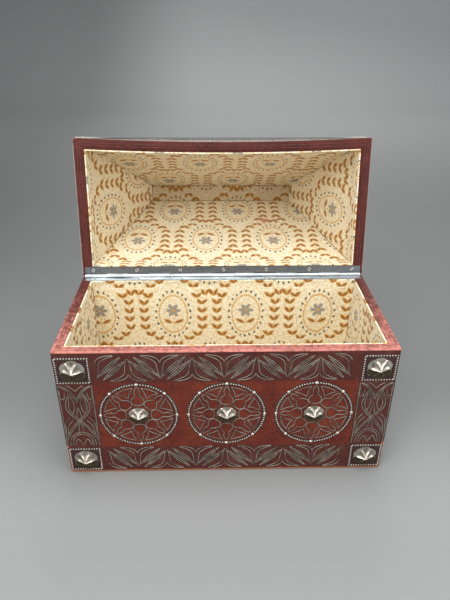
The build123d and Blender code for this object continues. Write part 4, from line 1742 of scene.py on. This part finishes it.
@dataclass
class Fittings:
    """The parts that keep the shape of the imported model, and the heads of the hinge screws."""

    sizes: CaseSizes
    finishes: Finishes
    count: int = 7
    pitch: float = 0.0392
    head: float = 0.0022
    slot: float = 0.00024
    sunk: float = 0.00012

    def dress(self) -> None:
        """Gives each kept part its finish."""
        for name, node in frame["nodes"].items():
            if name == "hinge_lid_leaf":
                material = self.finishes.lid_leaf
            elif name.startswith("hinge_"):
                material = self.finishes.hinge
            elif name == "base_underside_cover":
                material = self.finishes.underside
            else:
                material = self.finishes.wood
            node.data.materials.clear()
            node.data.materials.append(material)
            LOG.info("%s keeps its shape, finish %s", name, material.name)

    def make_screws(self) -> None:
        """Slotted heads over a dark disc of painted shadow."""
        s = self.sizes
        for body, node, level, way in (("base", "hinge_base_screws", s.rim_top, 1),
                                       ("lid", "hinge_lid_screws", s.lid_rim, -1)):
            low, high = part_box(node) if body == "base" else s.closed_box(node)
            middle = (low.y + high.y) / 2
            whole = bmesh.new()
            for i in range(self.count):
                at = Vector(((i - (self.count - 1) / 2) * self.pitch, middle, level))
                self.add_head(whole, at, way, math.radians(37 * i + 20))
            if body == "lid":
                bmesh.ops.transform(whole, matrix=s.opening, verts=whole.verts)
            piece = new_piece(node, whole, self.finishes.screw, self.finishes.groove_shade)
            hand_over(smooth(piece, 30), body, "hinge_steel", node)

    def add_head(self, whole: bmesh.types.BMesh, at: Vector, way: int, turn: float) -> None:
        """Adds one screw: a ring of shadow, two half-round lands and the shank.

        Args:
            whole: The mesh that it goes into.
            at: Middle of the head, on the leaf's face.
            way: 1 where the head looks up and -1 where it looks down.
            turn: Direction of the slot.
        """
        # the first drum is a dark disc of painted shadow under the head, which also shows through the slot
        parts = [(self.head * 1.06, -0.0005, 0.00002, 1), (0.0008, -0.0075, -0.0003, 0)]
        for radius, low, high, index in parts:
            self.add_drum(whole, Matrix.Translation(at + Vector((0, 0, way * (low + high) / 2))), radius,
                          high - low, index)
        for side in (-1, 1):
            bm = bmesh.new()
            bmesh.ops.create_cone(bm, segments=32, radius1=self.head, radius2=self.head * 0.86, cap_ends=True,
                                  depth=0.0005)
            cut_at(bm, (0.0, -side, 0.0), -self.slot, clear_outer=True)
            bmesh.ops.holes_fill(bm, edges=bm.edges)
            place = Matrix.Translation(at - Vector((0, 0, way * self.sunk))) @ Matrix.Rotation(turn, 4, "Z")
            if way < 0:
                place = place @ Matrix.Rotation(math.pi, 4, "X")
            bmesh.ops.transform(bm, matrix=place, verts=bm.verts)
            self.merge(whole, bm, 0)

    def add_drum(self, whole: bmesh.types.BMesh, place: Matrix, radius: float, depth: float,
                 index: int) -> None:
        """Adds one short cylinder.

        Args:
            whole: The mesh that it goes into.
            place: Its middle.
            radius: Its radius.
            depth: Its length.
            index: Its material's slot.
        """
        bm = bmesh.new()
        bmesh.ops.create_cone(bm, segments=24, radius1=radius, radius2=radius, cap_ends=True, depth=depth)
        bmesh.ops.transform(bm, matrix=place, verts=bm.verts)
        self.merge(whole, bm, index)

    def merge(self, whole: bmesh.types.BMesh, part: bmesh.types.BMesh, index: int) -> None:
        """Moves a part into a mesh with a material index."""
        for face in part.faces:
            face.material_index = index
        bmesh.ops.recalc_face_normals(part, faces=part.faces[:])
        mesh = bpy.data.meshes.new("part")
        part.to_mesh(mesh)
        part.free()
        whole.from_mesh(mesh)
        bpy.data.meshes.remove(mesh)


@dataclass
class Studio:
    """Floor, sweep, lights and the camera."""

    floor_grey: Colour = (0.270, 0.275, 0.272)
    middle_shade_grey: Colour = (0.165, 0.169, 0.166)
    far_lit_grey: Colour = (0.47, 0.475, 0.47)
    shade_grey: Colour = (0.06, 0.062, 0.061)
    lamps: tuple[tuple[str, Triple, Triple, float, float], ...] = (
        ("key", (-0.30, -0.80, 1.20), (0.0, 0.02, 0.10), 0.8, 11.0),
        ("top", (0.10, -0.05, 1.50), (0.0, 0.00, 0.10), 0.9, 14.0),
        ("fill_right", (0.80, -0.70, 0.50), (0.0, 0.0, 0.12), 0.7, 4.6),
        ("fill_left", (-0.80, -0.70, 0.50), (0.0, 0.0, 0.12), 0.7, 3.8),
        ("back", (0.15, 1.30, 1.15), (0.0, 0.05, 0.10), 1.1, 9.0))

    def make(self) -> None:
        """Builds the stage."""
        self.sweep()
        for lamp in self.lamps:
            self.light(*lamp)
        world = bpy.data.worlds.new("room")
        bpy.context.scene.world = world
        world.use_nodes = True
        world.node_tree.nodes["Background"].inputs[0].default_value = (0.60, 0.62, 0.65, 1.0)
        world.node_tree.nodes["Background"].inputs[1].default_value = 0.50
        bpy.context.scene.view_settings.view_transform = "Standard"
        self.camera()

    def sweep(self) -> None:
        """A pale floor that curves up into a backdrop, with painted shade: darker beside and behind the case
        and on the left, lighter up the backdrop.
        """
        bm = bmesh.new()
        width, front, back, bend, high = 3.0, -1.2, 1.5, 0.6, 2.4
        turns = [math.pi / 2 * i / 12 for i in range(13)]
        profile = [(front, 0.0)] + [(back + bend * math.sin(a), bend * (1 - math.cos(a))) for a in turns]
        profile.append((back + bend, high))
        chain = [bm.verts.new((-width, y, z)) for y, z in profile]
        edges = [bm.edges.new(pair) for pair in zip(chain, chain[1:])]
        grown = bmesh.ops.extrude_edge_only(bm, edges=edges)["geom"]
        far_side = [g for g in grown if isinstance(g, bmesh.types.BMVert)]
        bmesh.ops.translate(bm, vec=(2 * width, 0, 0), verts=far_side)
        r = Recipe("studio_paper")
        x, y, _ = r.parts(r.place())
        # painted shade and light: the floor darker beside and behind the case, the backdrop lighter higher up
        tone = r.blend(r.step(y, -0.11, 0.06), self.floor_grey, self.middle_shade_grey)
        tone = r.blend(r.step(y, 0.45, 1.9), tone, self.far_lit_grey)
        # painted shade over the left of the floor and backdrop
        left = r.step(x * -1.0, 0.00, 0.50) * r.step(y, 0.05, 0.4)
        tone = r.blend(left * 0.55, tone, self.shade_grey)
        tone = r.blend(r.noise(0.4, 3.0, 0.5) * 0.12, tone, self.floor_grey)
        paper = r.finish(Base_Color=tone, Roughness=0.8)
        smooth(new_piece("studio_sweep", bm, paper))

    def light(self, name: str, place: Triple, target: Triple, size: float, power: float) -> None:
        """One soft square light that points at the case.

        Args:
            name: Its name.
            place: Where it stands.
            target: What it points at.
            size: Its side.
            power: Its power in watts.
        """
        lamp = bpy.data.lights.new(name, "AREA")
        lamp.energy, lamp.size = power, size
        holder = bpy.data.objects.new(name, lamp)
        holder.location = place
        holder.rotation_euler = (Vector(target) - Vector(place)).to_track_quat("-Z", "Y").to_euler()
        bpy.context.scene.collection.objects.link(holder)

    def camera(self) -> None:
        """The view of the open case from the front, a little above."""
        lens = bpy.data.cameras.new("camera")
        lens.lens, lens.sensor_width = 32.616, 36.0
        holder = bpy.data.objects.new("camera", lens)
        holder.location = (-0.01044, -0.38353, 0.34188)
        holder.rotation_euler = [math.radians(a) for a in (60.789, -0.275, -1.393)]
        bpy.context.scene.collection.objects.link(holder)
        bpy.context.scene.camera = holder


def main() -> None:
    """Builds the casket, piece by piece."""
    logging.basicConfig(level=logging.INFO, format="%(name)s %(message)s")
    sizes, finishes = CaseSizes(), Finishes()
    Studio().make()
    fittings = Fittings(sizes, finishes)
    fittings.dress()
    fittings.make_screws()
    WarpedBoards(sizes, finishes).make()
    cover = LeatherCover(sizes, finishes)
    cover.make_base()
    cover.make_lid()
    cover.make_rim("base_rim", sizes.base_wall, sizes.rim_low, sizes.rim_top, lid=False)
    cover.make_rim("lid_rim", sizes.lid_wall, sizes.lid_rim, sizes.lid_rim + sizes.leather, lid=True)
    lining = Lining(sizes, finishes)
    lining.make_base()
    lining.make_lid()
    ornament = Ornament(sizes, finishes)
    ornament.make_tooling()
    ornament.make_studs()


if __name__ == "__main__":
    main()
